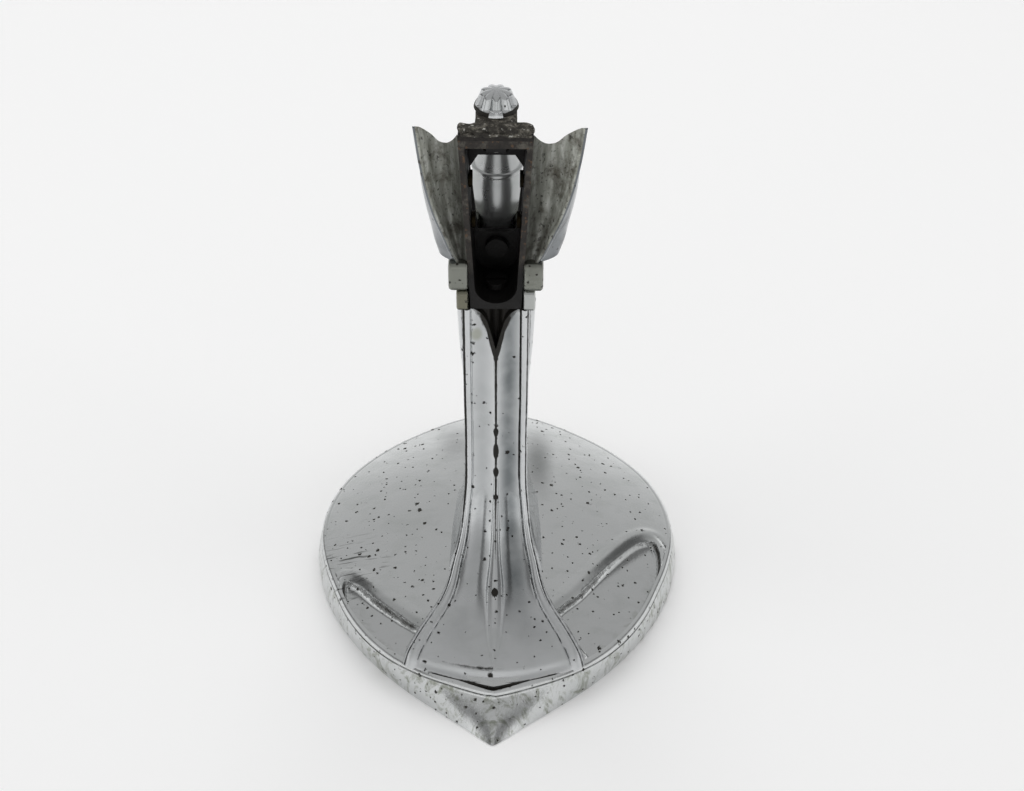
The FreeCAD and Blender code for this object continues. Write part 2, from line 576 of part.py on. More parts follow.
def make_cap_nut():
    """Bell-shaped cap nut with flutes round its wall, turning on the stud."""
    foot = "($channel_top + $gasket_height + $plate_height + $cap_gap)"
    wall = "(%s + $cap_foot_height)" % foot
    crown = "(%s + $cap_wall_height)" % wall
    at = {"y": "$stud_y"}
    flange = bound("Part::Cone", "cap_flange", Radius1="$cap_foot_radius", Radius2="$cap_waist_radius",
                   Height="$cap_foot_height", z=foot, **at)
    bell = bound("Part::Cone", "cap_bell", Radius1="$cap_waist_radius", Radius2="$cap_head_radius",
                 Height="$cap_wall_height", z=wall, **at)
    dome = bound("Part::Ellipsoid", "cap_crown", Radius1="$cap_crown_height", Radius2="$cap_head_radius",
                 Radius3="$cap_head_radius", z=crown, **at)
    flutes = []
    for index in range(int(SIZE["flute_count"])):
        angle = "(%d * 360 deg / $flute_count)" % index
        reach = "($cap_waist_radius - $flute_depth + $flute_radius)"
        flutes.append(cylinder("cap_flute_%d" % index, "$flute_radius", "$cap_wall_height + $cap_crown_height",
                               x="%s * cos%s" % (reach, angle), y="$stud_y + %s * sin%s" % (reach, angle),
                               z=wall + " + 0.5"))
    bore = cylinder("cap_bore", "$stud_radius + $cap_clearance", "$cap_bore_depth", z=foot, **at)
    solid = fuse("cap_solid", [flange, bell, dome])
    piece(cut("cap_cut", solid, flutes + [bore]), "fluted_cap_nut")


# The wings' sections: height, front y of the root, outer bulge (x, y), rim (x, y) and pocket (x, y)
WING_LEVELS = [
    (89.4, 5.6, 11.6, -0.4, 8.4, -3.2, 7.0, -2.4),
    (92.0, 6.8, 12.6, 0.6, 9.4, -3.8, 7.7, -1.7),
    (96.0, 7.6, 13.4, 1.4, 10.8, -4.2, 8.6, -0.8),
    (101.0, 8.0, 14.3, 1.4, 12.7, -4.1, 9.6, -0.1),
    (106.0, 8.2, 14.9, 1.2, 14.1, -3.7, 10.4, 0.4),
    (112.0, 8.2, 14.8, 2.0, 15.3, -3.0, 10.9, 0.7),
    (119.5, 8.2, 14.6, 3.2, 16.3, -2.4, 11.4, 0.8),
]
# The wings' top edge seen from the rear, as (x, height) at one depth; it slopes down from there to the front
WING_EDGE = [(4.6, 119.2), (6.6, 118.2), (8.0, 117.2), (9.6, 116.8), (11.4, 117.5), (12.4, 118.5), (13.8, 119.3),
             (20.0, 119.5)]
WING_EDGE_Y = -2.4


def wall_face(z):
    """Half width of the channel outside its walls, at a height."""
    slope = (SIZE["channel_head_half"] - SIZE["channel_foot_half"]) / (SIZE["channel_top"] - SIZE["stem_top"])
    return SIZE["channel_foot_half"] + (z - SIZE["stem_top"]) * slope


def wing_section(span, z, root_y, bulge_x, bulge_y, rim_x, rim_y, pocket_x, pocket_y):
    """Outer surface from the root round to the rim, the rim's edge, the hollow rear face, and the flat root."""
    root = wall_face(z)
    front = point(root, root_y, z)
    rear = point(root, SIZE["channel_rear_y"] + 0.2, z)
    bulge, rim, pocket = [root + (x - root) * span for x in (bulge_x, rim_x, pocket_x)]
    rim_out = point(rim, rim_y, z)
    rim_in = point(rim - SIZE["wing_rim"], rim_y, z)
    outer = spline([front, point(bulge, bulge_y, z), rim_out])
    inner = spline([rim_in, point(pocket, pocket_y, z), rear])
    return Part.Wire([outer, Part.makeLine(rim_out, rim_in), inner, Part.makeLine(rear, front)])


def wing(span):
    """A wing on the right, from its sections, scalloped along its top and bored for its rivets."""
    solid = Part.makeLoft([wing_section(span, *level) for level in WING_LEVELS], True, False)
    start = WING_EDGE_Y - SIZE["wing_edge_run"]
    rise = SIZE["wing_edge_run"] * SIZE["wing_edge_slope"]
    root = SIZE["channel_head_half"]
    edge = [point(root + (x - root) * span, start, z + rise) for x, z in WING_EDGE]
    lid = [edge[-1], point(edge[-1].x, start, edge[-1].z + 20), point(edge[0].x, start, edge[-1].z + 20), edge[0]]
    above = Part.Face(Part.Wire([spline(edge)] + Part.makePolygon(lid).Edges))
    reach = 4 * SIZE["wing_edge_run"]
    solid = solid.cut(above.extrude(point(0, reach, -reach * SIZE["wing_edge_slope"])))
    for height in (SIZE["rivet_low_z"], SIZE["rivet_high_z"]):
        start = point(wall_face(height) - 1, SIZE["rivet_y"], height)
        solid = solid.cut(Part.makeCylinder(SIZE["rivet_radius"], SIZE["rivet_reach"] + 1, start, point(1, 0, 0)))
    return solid


def make_wings():
    """Right and left wings; the left one is a mirror image with a shorter reach."""
    free_form("right_wing", wing(SIZE["right_span"]))
    free_form("left_wing", wing(SIZE["left_span"]).mirror(point(0, 0), point(1, 0)))


def check_and_export():
    """Stops on any failed object, then writes each sub-part to its own file."""
    doc.recompute()
    for thing in doc.Objects:
        if "Invalid" in thing.State or "Error" in thing.State:
            raise RuntimeError("%s failed: %s" % (thing.Label, thing.State))
    labels = [thing.Label for thing in PIECES]
    if len(set(labels)) != len(labels):
        raise RuntimeError("two sub-parts share a label")
    os.makedirs("parts", exist_ok=True)
    for thing in PIECES:
        shape = thing.Shape
        if shape.isNull() or not shape.isValid() or len(shape.Solids) != 1:
            raise RuntimeError("%s is null, not valid or not one solid" % thing.Label)
        shape.exportStep("parts/%s.step" % thing.Label)
        box = shape.BoundBox
        print("%-26s %10.1f mm3   x %6.1f %6.1f  y %6.1f %6.1f  z %6.1f %6.1f"
              % (thing.Label, shape.Volume, box.XMin, box.XMax, box.YMin, box.YMax, box.ZMin, box.ZMax))


dome_solid = make_base()
make_stem(dome_solid)
make_inserts()
make_stem_screws()
make_channel()
make_channel_screw()
make_strut()
make_strut_screw()
make_collar("lower_collar", "$lower_collar_half", "$stem_top", "$collar_joint_z", False)
make_collar("upper_collar", "$upper_collar_half", "$collar_joint_z", "$collar_top_z", True)
make_wings()
make_rivets()
make_top()
make_stud()
make_cap_nut()
check_and_export()
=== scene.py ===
"""Looks for a chromed die-cast hood ornament: teardrop base, fluted stem, open winged head and fluted cap nut.

Sizes are in millimetres and become metres when a mesh is made. +Z is up and the pointed tail is towards -Y.
"""
import math

import bmesh
import bpy
import numpy as np
from mathutils import Matrix, Vector


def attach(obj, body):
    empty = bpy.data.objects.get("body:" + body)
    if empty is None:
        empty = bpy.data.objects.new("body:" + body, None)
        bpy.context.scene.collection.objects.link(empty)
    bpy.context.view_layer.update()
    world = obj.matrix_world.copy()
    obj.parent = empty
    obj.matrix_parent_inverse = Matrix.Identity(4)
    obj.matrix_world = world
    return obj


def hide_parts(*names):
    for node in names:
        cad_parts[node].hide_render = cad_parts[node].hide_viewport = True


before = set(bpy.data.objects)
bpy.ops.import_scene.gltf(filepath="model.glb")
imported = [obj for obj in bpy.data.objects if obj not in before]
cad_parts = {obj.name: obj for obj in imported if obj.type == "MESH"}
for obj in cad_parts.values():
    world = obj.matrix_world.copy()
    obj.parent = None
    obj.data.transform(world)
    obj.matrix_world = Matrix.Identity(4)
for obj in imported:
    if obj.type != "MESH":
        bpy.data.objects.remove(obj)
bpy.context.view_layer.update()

# ----------
# The camera, the floor and the light.
# A white sweep under a soft tent: the floor and the tent's walls are bright and its roof is a darker grey, which
# is what a mirror finish shows.
MM = 0.001
EYE = (5.97, -324.79, 325.33)
AIM = (3.21, 4.6, 48.93)
ROLL = math.radians(0.28)
LENS = 71.99


def colour(code):
    """Linear RGBA from an sRGB hex code: the sRGB curve undone channel by channel."""
    values = [int(code[i:i + 2], 16) / 255 for i in (0, 2, 4)]
    return tuple(v / 12.92 if v <= 0.04045 else ((v + 0.055) / 1.055) ** 2.4 for v in values) + (1.0,)


def put(node, *values, **settings):
    """Fills a node: values go to its inputs in order, a setting to the input of that name, with _ for a space, or
    in lower case to its property. A node given as a value is linked from its first output, a socket as it is, and
    text is a colour's hex code."""
    for key in filter(str.islower, settings):
        setattr(node, key, settings[key])
    live = [socket for socket in node.inputs if socket.enabled]
    named = [(node.inputs[key.replace("_", " ")], settings[key]) for key in settings if not key.islower()]
    for socket, value in list(zip(live, values)) + named:
        if isinstance(value, bpy.types.Node):
            value = next(output for output in value.outputs if output.enabled)
        if isinstance(value, str):
            value = colour(value)
        if isinstance(value, bpy.types.NodeSocket):
            node.id_data.links.new(value, socket)
        else:
            socket.default_value = value
    return node


def add(tree, kind, *values, stops=(), **settings):
    """Adds a shader node and fills it. Stops are a colour ramp's positions, each with its colour or grey level."""
    made = put(tree.nodes.new("ShaderNode" + kind), *values, **settings)
    if stops:
        bar = made.color_ramp.elements
        while len(bar) < len(stops):
            bar.new(0.5)
        for element, (at, tone) in zip(bar, stops):
            element.position = at
            element.color = colour(tone) if isinstance(tone, str) else (tone, tone, tone, 1.0)
    return made


def material(name):
    """A new material with one Principled BSDF: returns it, its tree, its shader and its Object coordinates."""
    made = bpy.data.materials.new(name)
    made.use_nodes = True
    tree = made.node_tree
    return made, tree, tree.nodes["Principled BSDF"], add(tree, "TexCoord").outputs["Object"]


scene = bpy.context.scene
scene.view_settings.view_transform = "Standard"

ahead = (Vector(AIM) - Vector(EYE)).normalized()
level = ahead.cross(Vector((0, 0, 1))).normalized()
upward = level.cross(ahead)
turn = Matrix((level * math.cos(ROLL) + upward * math.sin(ROLL),
               upward * math.cos(ROLL) - level * math.sin(ROLL), -ahead)).transposed().to_4x4()
turn.translation = Vector(EYE) * MM
camera_data = bpy.data.cameras.new("Camera")
camera_data.lens = LENS
camera_data.sensor_width = 36
camera_data.clip_start = 0.01
camera = bpy.data.objects.new("Camera", camera_data)
camera.matrix_world = turn
scene.collection.objects.link(camera)
scene.camera = camera

FLOOR_REACH = 4000 * MM
floor_mesh = bpy.data.meshes.new("floor")
corners = [(x * FLOOR_REACH, y * FLOOR_REACH, 0) for x, y in ((-1, -1), (1, -1), (1, 1), (-1, 1))]
floor_mesh.from_pydata(corners, [], [(0, 1, 2, 3)])
floor = bpy.data.objects.new("floor", floor_mesh)
scene.collection.objects.link(floor)
# Matt white paper: bright and even, with no shine
paper, _, shader, _ = material("matt_white_paper")
put(shader, Base_Color="F4F4F4", Roughness=0.9, Specular_IOR_Level=0.1, Emission_Color="FFFFFF",
    Emission_Strength=0.1)
floor_mesh.materials.append(paper)

world = bpy.data.worlds.new("tent")
scene.world = world
world.use_nodes = True
tree = world.node_tree
sight = add(tree, "SeparateXYZ", add(tree, "TexCoord").outputs["Generated"])
tent = add(tree, "ValToRGB", add(tree, "MapRange", sight.outputs["Z"], -1.0, 1.0),
           stops=[(0.0, 1.1), (0.5, 1.1), (0.57, 1.0), (0.64, 0.72), (0.72, 0.6), (0.82, 0.53), (1.0, 0.5)])
# A dark flag stands on each side, which gives the rounded edges of the chrome their dark streaks
flags = add(tree, "ValToRGB", add(tree, "Math", sight.outputs["X"], operation="ABSOLUTE"),
            stops=[(0.0, 1.0), (0.6, 1.0), (0.67, 0.32), (0.79, 0.32), (0.86, 1.0), (1.0, 1.0)])
tent = add(tree, "Mix", 1.0, tent, flags, data_type="RGBA", blend_type="MULTIPLY")
put(tree.nodes["Background"], Color=tent, Strength=1.0)


def softbox(name, place, aim, width, height, power):
    """A rectangular area light at a place, facing its aim."""
    data = bpy.data.lights.new(name, "AREA")
    data.shape = "RECTANGLE"
    data.size = width * MM
    data.size_y = height * MM
    data.energy = power
    lamp = bpy.data.objects.new(name, data)
    facing = (Vector(aim) - Vector(place)).to_track_quat("-Z", "Y").to_matrix().to_4x4()
    facing.translation = Vector(place) * MM
    lamp.matrix_world = facing
    # The tent hides the lamps from the mirror finish
    lamp.visible_glossy = False
    scene.collection.objects.link(lamp)


softbox("left_softbox", (-620, -120, 520), (0, 0, 50), 560, 560, 1.0)
softbox("right_softbox", (640, -160, 480), (0, 0, 50), 520, 560, 0.8)
softbox("high_softbox", (0, 420, 820), (0, 0, 40), 700, 500, 2.4)

# ----------
# The base: a die-cast zinc shell, polished and chromed, with a sharp rear prow, a rolled rim round a low dome and
# a leaf-shaped recess on each side of the stem. It is cast hollow, with bosses for its screws underneath.
BASE_CENTRE_Y = 6.0
BASE_HALF = 40.0
# Radius of the outline against the angle from the tail, in degrees: the lower edge, then the rim above it
NOSE_ANGLES = [90.0, 99.8, 116.1, 134.9, 153.4, 167.6, 180.0, 192.4]
NOSE_RADII = [40.0, 39.98, 39.6, 38.95, 39.35, 40.94, 42.4, 40.94]
LOWER_ANGLES = [0.0, 6.0, 14.0, 25.0, 38.0, 52.0, 65.0, 78.0] + NOSE_ANGLES
LOWER_RADII = [55.6, 51.5, 47.7, 44.4, 41.9, 40.4, 39.9, 39.8] + NOSE_RADII
RIM_ANGLES = [0.0, 10.8, 21.7, 31.1, 40.2, 50.3, 63.9, 74.0] + NOSE_ANGLES
RIM_RADII = [49.0, 46.9, 45.6, 44.6, 43.3, 41.8, 40.1, 39.8] + NOSE_RADII
RIM_TOP = 8.2
RIM_INSET = 2.0
# The rolled rim, as (inset, height) from the dome outwards and down, with the groove's rows after the twelfth
RIM_PROFILE = [(2.1, 8.22), (2.0, 8.2), (1.9, 8.19), (1.8, 8.17), (1.7, 8.15), (1.6, 8.12), (1.5, 8.08),
               (1.35, 8.0), (1.2, 7.9), (1.0, 7.6), (0.88, 7.3), (0.86, 7.1), (1.12, 6.95), (1.2, 6.85),
               (1.12, 6.75), (0.84, 6.6), (0.78, 6.4)]
GROOVE_ROWS = slice(12, 15)
SKIRT_HEAD_INSET = 0.76
SKIRT_HEIGHT = 6.4
DOME_TOP = 14.6
WALL = 3.2
LEAF_DEPTH = 1.5
LEAF_RIGHT = [(13.2, -22.0), (18.1, -16.4), (24.8, -7.0), (30.6, 0.2), (34.4, 2.0), (35.9, -2.4), (34.9, -10.4),
              (32.2, -18.4), (28.0, -26.4), (23.4, -32.2), (21.2, -32.6), (18.4, -30.0), (15.2, -25.6)]
LEAF_LEFT = [(-14.6, -27.4), (-20.0, -22.6), (-25.5, -17.4), (-29.8, -12.4), (-32.6, -11.0), (-32.6, -15.4),
             (-29.6, -22.4), (-25.2, -29.2), (-21.4, -33.4), (-19.4, -33.4), (-16.8, -31.0)]


def through(at, knots, values):
    """Smooth curve through knots: cubic Hermite pieces whose slope at a knot is the mean of its two neighbours'
    slopes, each weighted by the other's span; the end slopes are those of the end pieces."""
    knots = np.asarray(knots, float)
    values = np.asarray(values, float).reshape(len(knots), -1)
    span = np.diff(knots)[:, None]
    rise = np.diff(values, axis=0) / span
    between = (rise[:-1] * span[1:] + rise[1:] * span[:-1]) / (span[1:] + span[:-1])
    slope = np.vstack([rise[:1], between, rise[-1:]])
    at = np.asarray(at, float)
    flat = at.ravel()
    cell = np.clip(np.searchsorted(knots, flat, side="right") - 1, 0, len(knots) - 2)
    u = np.clip((flat - knots[cell])[:, None] / span[cell], 0, 1)
    made = ((1 + 2 * u) * (1 - u) ** 2 * values[cell] + u * (1 - u) ** 2 * span[cell] * slope[cell]
            + u * u * (3 - 2 * u) * values[cell + 1] + u * u * (u - 1) * span[cell] * slope[cell + 1])
    return made.reshape(at.shape) if values.shape[1] == 1 else made.reshape(at.shape + (values.shape[1],))


def step(low, high, at):
    """Smooth step from 0 at low to 1 at high: 3u squared minus 2u cubed."""
    u = np.clip((np.asarray(at, float) - low) / (high - low), 0, 1)
    return u * u * (3 - 2 * u)


def bump(centre, half, at):
    """Smooth bump: the square of one minus the squared distance from the centre, as a share of the half width."""
    u = np.clip(np.abs(np.asarray(at, float) - centre) / half, 0, 1)
    return (1 - u * u) ** 2


def piece(name, points, faces, finish, sharp=35.0, **marks):
    """A mesh object from points in millimetres, smooth but for edges over the sharp angle, with faces outwards;
    marks are values for each point, kept as attributes for the finish."""
    mesh = bpy.data.meshes.new(name)
    mesh.from_pydata((np.asarray(points, float).reshape(-1, 3) * MM).tolist(), [], faces)
    for mark, values in marks.items():
        values = np.ravel(values).astype(np.float32)
        filled = np.pad(values, (0, len(mesh.vertices) - len(values)))
        mesh.attributes.new(mark, "FLOAT", "POINT").data.foreach_set("value", filled)
    work = bmesh.new()
    work.from_mesh(mesh)
    bmesh.ops.remove_doubles(work, verts=work.verts, dist=1e-7)
    bmesh.ops.dissolve_degenerate(work, edges=work.edges, dist=1e-7)
    bmesh.ops.recalc_face_normals(work, faces=work.faces)
    work.to_mesh(mesh)
    work.free()
    mesh.shade_smooth()
    mesh.set_sharp_from_angle(angle=math.radians(sharp))
    mesh.materials.append(finish)
    made = bpy.data.objects.new(name, mesh)
    scene.collection.objects.link(made)
    return made


def grid_faces(rows, columns):
    """Quads between the neighbouring rows and columns of a grid of points, whose columns close into a loop."""
    across = np.arange(columns)
    beyond = (across + 1) % columns
    start = np.arange(rows - 1)[:, None] * columns
    quads = np.stack([start + across, start + beyond, start + columns + beyond, start + columns + across], -1)
    return quads.reshape(-1, 4).tolist()


def closed_skin(grid):
    """Points and faces of a tube of rows, wrapped round its columns and closed by a fan to a pole at each end."""
    rows, columns = grid.shape[:2]
    points = np.vstack([grid.reshape(-1, 3), grid[0].mean(0), grid[-1].mean(0)])
    pairs = [(a, (a + 1) % columns) for a in range(columns)]
    low, high, last = rows * columns, rows * columns + 1, (rows - 1) * columns
    faces = grid_faces(rows, columns) + [[low, b, a] for a, b in pairs]
    return points, faces + [[high, last + a, last + b] for a, b in pairs]


def join(parts):
    """One list of points and one of faces from several (points, faces) whose faces start at zero."""
    points, faces, offset = [], [], 0
    for some, their in parts:
        points.append(some)
        faces += [[i + offset for i in face] for face in their]
        offset += len(some)
    return np.vstack(points), faces


def leaf_edge(outline, x, y):
    """Signed distance to a closed smooth outline, positive inside: the nearest of many points sampled on it, with
    the sign from a crossing count; also how far the point is towards the dome's side of the leaf's long chord."""
    knots = np.arange(-2, len(outline) + 3)
    loop = through(np.linspace(0, len(outline), 361)[:-1], knots, [outline[k % len(outline)] for k in knots])
    flat = np.column_stack([x.ravel(), y.ravel()])
    near = np.full(len(flat), 99.0)
    inside = np.zeros(len(flat), bool)
    box = (flat[:, 0] > loop[:, 0].min() - 6) & (flat[:, 0] < loop[:, 0].max() + 6)
    box &= (flat[:, 1] > loop[:, 1].min() - 6) & (flat[:, 1] < loop[:, 1].max() + 6)
    some = flat[box]
    near[box] = np.sqrt(((some[:, None] - loop[None]) ** 2).sum(-1)).min(1)
    after = np.roll(loop, -1, axis=0)
    above = loop[None, :, 1] > some[:, 1:2]
    crosses = above != (after[None, :, 1] > some[:, 1:2])
    rise = np.where(after[:, 1] == loop[:, 1], 1e-9, after[:, 1] - loop[:, 1])
    meet = loop[:, 0] + (some[:, 1:2] - loop[None, :, 1]) * (after[:, 0] - loop[:, 0]) / rise
    inside[box] = (crosses & (some[:, :1] < meet)).sum(1) % 2 == 1
    tip = np.array(max(outline, key=lambda p: p[1] + abs(p[0]) * 0.2))
    heel = np.array(outline[0])
    along = (tip - heel) / np.linalg.norm(tip - heel)
    across = np.array([-along[1], along[0]]) * (1 if heel[0] > 0 else -1)
    towards_dome = ((flat - heel) @ across).reshape(x.shape)
    return np.where(inside, near, -near).reshape(x.shape), towards_dome


def dome_height(inset):
    """Height of the dome: a parabola from the rim's inner edge, level at the middle."""
    share = np.clip((inset - RIM_INSET) / (BASE_HALF - RIM_INSET), 0, 1)
    return RIM_TOP + (DOME_TOP - RIM_TOP) * (1 - (1 - share) ** 2)


def inset_at(x, y):
    """Distance inside the rim's outline of a point of the plan, from its radius and its angle from the tail."""
    angle = np.degrees(np.arctan2(np.abs(x), BASE_CENTRE_Y - y))
    return BASE_HALF * (1 - np.hypot(x, y - BASE_CENTRE_Y) / through(angle, RIM_ANGLES, RIM_RADII))


# Columns by angle from the tail, closer together on the tail's side where the recesses are
tail_side = np.concatenate([[0.0, 0.12, 0.25, 0.4, 0.7, 1.2], np.linspace(2.0, 104.0, 159)])
PROW_ROUND = 0.3
nose_side = np.linspace(104.0, 180.0, 61)[1:]
angles = np.concatenate([tail_side, nose_side])
angles = np.concatenate([angles, -angles[-2:0:-1]])
lower_edge = through(np.hypot(angles, PROW_ROUND), LOWER_ANGLES, LOWER_RADII)
rim_edge = through(np.hypot(angles, PROW_ROUND), RIM_ANGLES, RIM_RADII)
away = np.column_stack([np.sin(np.radians(angles)), -np.cos(np.radians(angles))])


def ring(radius, height):
    """One row of the base: the radius along each column's direction, at a height or heights."""
    xy = away * np.broadcast_to(radius, angles.shape)[:, None] + [0, BASE_CENTRE_Y]
    return np.column_stack([xy, np.broadcast_to(height, angles.shape)])


# The outside: the dome from its middle to the rim, the rolled rim with a fine groove under it, and the skirt
dome_rows = []
for inset in np.concatenate([np.linspace(39.4, 26.0, 12), np.linspace(25.6, 2.2, 100)]):
    dome_rows.append(ring(rim_edge * (BASE_HALF - inset) / BASE_HALF, dome_height(inset)))
dome_rows = np.array(dome_rows)
plan_x, plan_y = dome_rows[..., 0], dome_rows[..., 1]
lowered = np.zeros(plan_x.shape)
dirt = np.zeros(plan_x.shape)
crease = np.zeros(plan_x.shape)
for outline in (LEAF_RIGHT, LEAF_LEFT):
    edge, towards_dome = leaf_edge(outline, plan_x, plan_y)
    soft = step(-1.5, 3.0, towards_dome)
    crisp_step = step(-0.3, 0.8, edge)
    soft_step = 0.45 * step(-3.4, 1.8, edge) + 0.55 * step(0.6, 6.5, edge)
    lowered += LEAF_DEPTH * ((1 - soft) * crisp_step + soft * soft_step)
    lowered -= 0.28 * (1 - soft) * bump(-1.0, 1.0, edge)
    lowered += 0.22 * (1 - soft) * bump(-2.3, 0.5, edge)
    lowered -= 0.35 * soft * bump(-2.0, 2.2, edge)
    dirt += (1 - soft) * (0.8 * bump(0.1, 0.6, edge) + 0.45 * bump(-2.3, 0.5, edge))
    crease += soft * bump(-0.8, 1.5, edge)
dome_rows[..., 2] -= lowered
rim_rows = np.array([ring(rim_edge * (BASE_HALF - inset) / BASE_HALF, height) for inset, height in RIM_PROFILE])
# The wedge-shaped seam where the foot of the stem meets the rim, widest on the centre line, and a small cast tab
wedge = np.clip(1 - np.abs(rim_rows[..., 0]) / 15.0, 0, 1) * (rim_rows[..., 1] < 0)
seam = bump(2.1, 0.08 + 0.75 * wedge ** 1.5, inset_at(rim_rows[..., 0], rim_rows[..., 1])) * step(0.0, 0.3, wedge)
tab = bump(-0.4, 1.2, rim_rows[..., 0]) * bump(-42.0, 1.3, rim_rows[..., 1])
rim_rows[..., 2] -= 0.8 * seam * wedge - 0.3 * tab
rim_dirt = 1.0 * seam
rim_dirt[GROOVE_ROWS] += [[0.45], [0.85], [0.45]]
skirt_rows = []
skirt_head = rim_edge * (BASE_HALF - SKIRT_HEAD_INSET) / BASE_HALF
for share in np.linspace(0.03, 0.965, 34):
    belly = 0.35 * math.sin(math.pi * share)
    skirt_rows.append(ring(skirt_head + (lower_edge - skirt_head) * share ** 1.08 + belly,
                           SKIRT_HEIGHT * (1 - share)))
skirt_rows += [ring(lower_edge - 0.3, 0.12), ring(lower_edge - 0.9, 0.03), ring(lower_edge * 0.955, 0.0)]
# The inside of the shell: straight walls and a ceiling one wall's thickness under the dome
hollow_rows = [ring(lower_edge * 0.925, 0.3)]
hollow_rows += [ring(np.minimum(lower_edge, rim_edge * 1.02) * 0.915, h) for h in (1.5, 3.0, 4.2)]
for inset in (4.2, 6.0, 9.0, 13.0, 18.0, 24.0, 31.0, 39.0):
    hollow_rows.append(ring(rim_edge * (BASE_HALF - inset) / BASE_HALF, dome_height(inset) - WALL))
shell = np.concatenate([dome_rows, rim_rows, np.array(skirt_rows + hollow_rows)])
shell_dirt = np.zeros(shell.shape[:2])
shell_dirt[:len(dirt)] = dirt
shell_dirt[len(dirt):len(dirt) + len(rim_dirt)] = rim_dirt
# Painted shade and reflection: a darker tone painted on the dome on each side of the stem, for the stem's dark
# reflection, and painted shade in the bottom of the recesses and along their upper creases
across_x, along_y = shell[..., 0], shell[..., 1]
shell_film = 0.6 * bump(9.0, 4.5, across_x) * bump(25.0, 18.0, along_y)
shell_film += 0.35 * bump(-10.0, 6.0, across_x) * bump(33.0, 12.0, along_y)
shell_film[:len(dome_rows)] += 0.12 * np.clip(lowered / LEAF_DEPTH, 0, 1) + 0.5 * crease


def upright_tube(x, y, foot, top, outer, inner, sides=48):
    """A tube standing between two heights, closed at its top: rows go over its foot from the bore to outside."""
    around = np.linspace(0, 2 * math.pi, sides, endpoint=False)
    profile = [(inner, top - 0.4), (inner, foot), (outer - 0.3, foot), (outer, foot + 0.3), (outer, top)]
    rows = [np.column_stack([x + r * np.cos(around), y + r * np.sin(around), np.full(sides, z)])
            for r, z in profile + [(0.5, top)]]
    return closed_skin(np.array(rows))


bosses = [upright_tube(0, 27.0, 0.8, 11.2, 5.6, 4.0), upright_tube(0, -27.0, 0.8, 9.5, 5.6, 4.0)]
bosses += [upright_tube(0, y, 7.0, 13.0, 5.6, 2.1) for y in (8.0, -12.0)]


def pitting(tree, place, kinds):
    """A mask of pits. Each kind is a cell in millimetres, the share of cells that hold a pit and the largest pit's
    radius as a share of the cell: a cell's random value decides whether it holds one and how large it is."""
    ragged = add(tree, "TexNoise", place, Scale=1 / (0.45 * MM), Detail=2.0)
    uneven = add(tree, "MapRange", ragged, 0.3, 0.7, 0.55, 1.45)
    marks = None
    for cell_mm, share, radius in kinds:
        cells = add(tree, "TexVoronoi", place, Scale=1 / (cell_mm * MM))
        chance = add(tree, "SeparateXYZ", cells.outputs["Color"]).outputs["X"]
        size = add(tree, "MapRange", chance, 0.0, share, radius, radius * 0.3)
        held = add(tree, "Math", chance, share, operation="LESS_THAN")
        size = add(tree, "Math", size, held, operation="MULTIPLY")
        size = add(tree, "Math", size, uneven, operation="MULTIPLY")
        gap = add(tree, "Math", size, cells.outputs["Distance"], operation="SUBTRACT")
        mark = add(tree, "MapRange", gap, 0.0, radius * 0.25)
        marks = mark if marks is None else add(tree, "Math", marks, mark, operation="MAXIMUM")
    return marks


def chrome(name, plate, pits, gloss, bare="4F4D46", dull="A9AFAA", dulled=0.35, relief_mm=0.2, metal=1.0,
           before=None):
    """Worn decorative chrome over zinc. The plate is a mirror with an uneven haze and dull wiped patches; where it
    has lifted, in pits and in the seams that a point attribute marks, the bare metal is dark and rough, and the
    same attribute also paints shade in that dark colour where a piece marks shade; the matt attribute roughens the
    plate. before() may change the plate's colour, and returns it."""
    made, tree, shader, place = material(name)
    haze = add(tree, "TexNoise", place, Scale=1 / (14 * MM), Detail=5.0, Roughness=0.62)
    streaks = add(tree, "Mapping", place, Scale=(1.0, 1.7, 1.3), Rotation=(0.3, 0.2, 0.5))
    smear = add(tree, "TexNoise", streaks, Scale=1 / (8 * MM), Detail=6.0, Roughness=0.6, Distortion=0.5)
    fine = add(tree, "TexNoise", place, Scale=1 / (0.5 * MM), Detail=3.0)
    patch = add(tree, "MapRange", smear, 0.48, 0.74, 0.0, dulled)
    coat = add(tree, "Mix", patch, plate, dull, data_type="RGBA")
    if before is not None:
        coat = before(tree, place, coat)
    lifted = pitting(tree, place, pits)
    # Painted shade as well as dirt: this point attribute marks real seams and lines, and also shade painted into
    # the stem's notch and top
    dirt = add(tree, "Attribute", attribute_name="dirt").outputs["Fac"]
    broken = add(tree, "TexNoise", place, Scale=1 / (1.4 * MM), Detail=4.0, Roughness=0.7)
    broken = add(tree, "Math", broken, -0.9, dirt, operation="MULTIPLY_ADD")
    seams = add(tree, "MapRange", broken, -0.2, 0.25)
    marks = add(tree, "Math", lifted, seams, operation="MAXIMUM")
    coat = add(tree, "Mix", marks, coat, bare, data_type="RGBA")
    film = add(tree, "MapRange", haze, 0.3, 0.72, gloss[0], gloss[1])
    film = add(tree, "Math", patch, 0.25, film, operation="MULTIPLY_ADD")
    matt = add(tree, "Attribute", attribute_name="matt").outputs["Fac"]
    film = add(tree, "Math", matt, 0.3, film, operation="MULTIPLY_ADD")
    waves = add(tree, "TexNoise", place, Scale=1 / (6 * MM), Detail=2.0)
    depth = add(tree, "Math", waves, 0.25, add(tree, "Math", fine, 0.05, operation="MULTIPLY"),
                operation="MULTIPLY_ADD")
    depth = add(tree, "Math", marks, -1.0, depth, operation="MULTIPLY_ADD")
    put(shader, Base_Color=coat, Metallic=add(tree, "MapRange", marks, 0.0, 1.0, metal, 0.4),
        Roughness=add(tree, "Mix", marks, film, 0.6),
        Normal=add(tree, "Bump", Height=depth, Strength=0.9, Distance=relief_mm * MM))
    return made


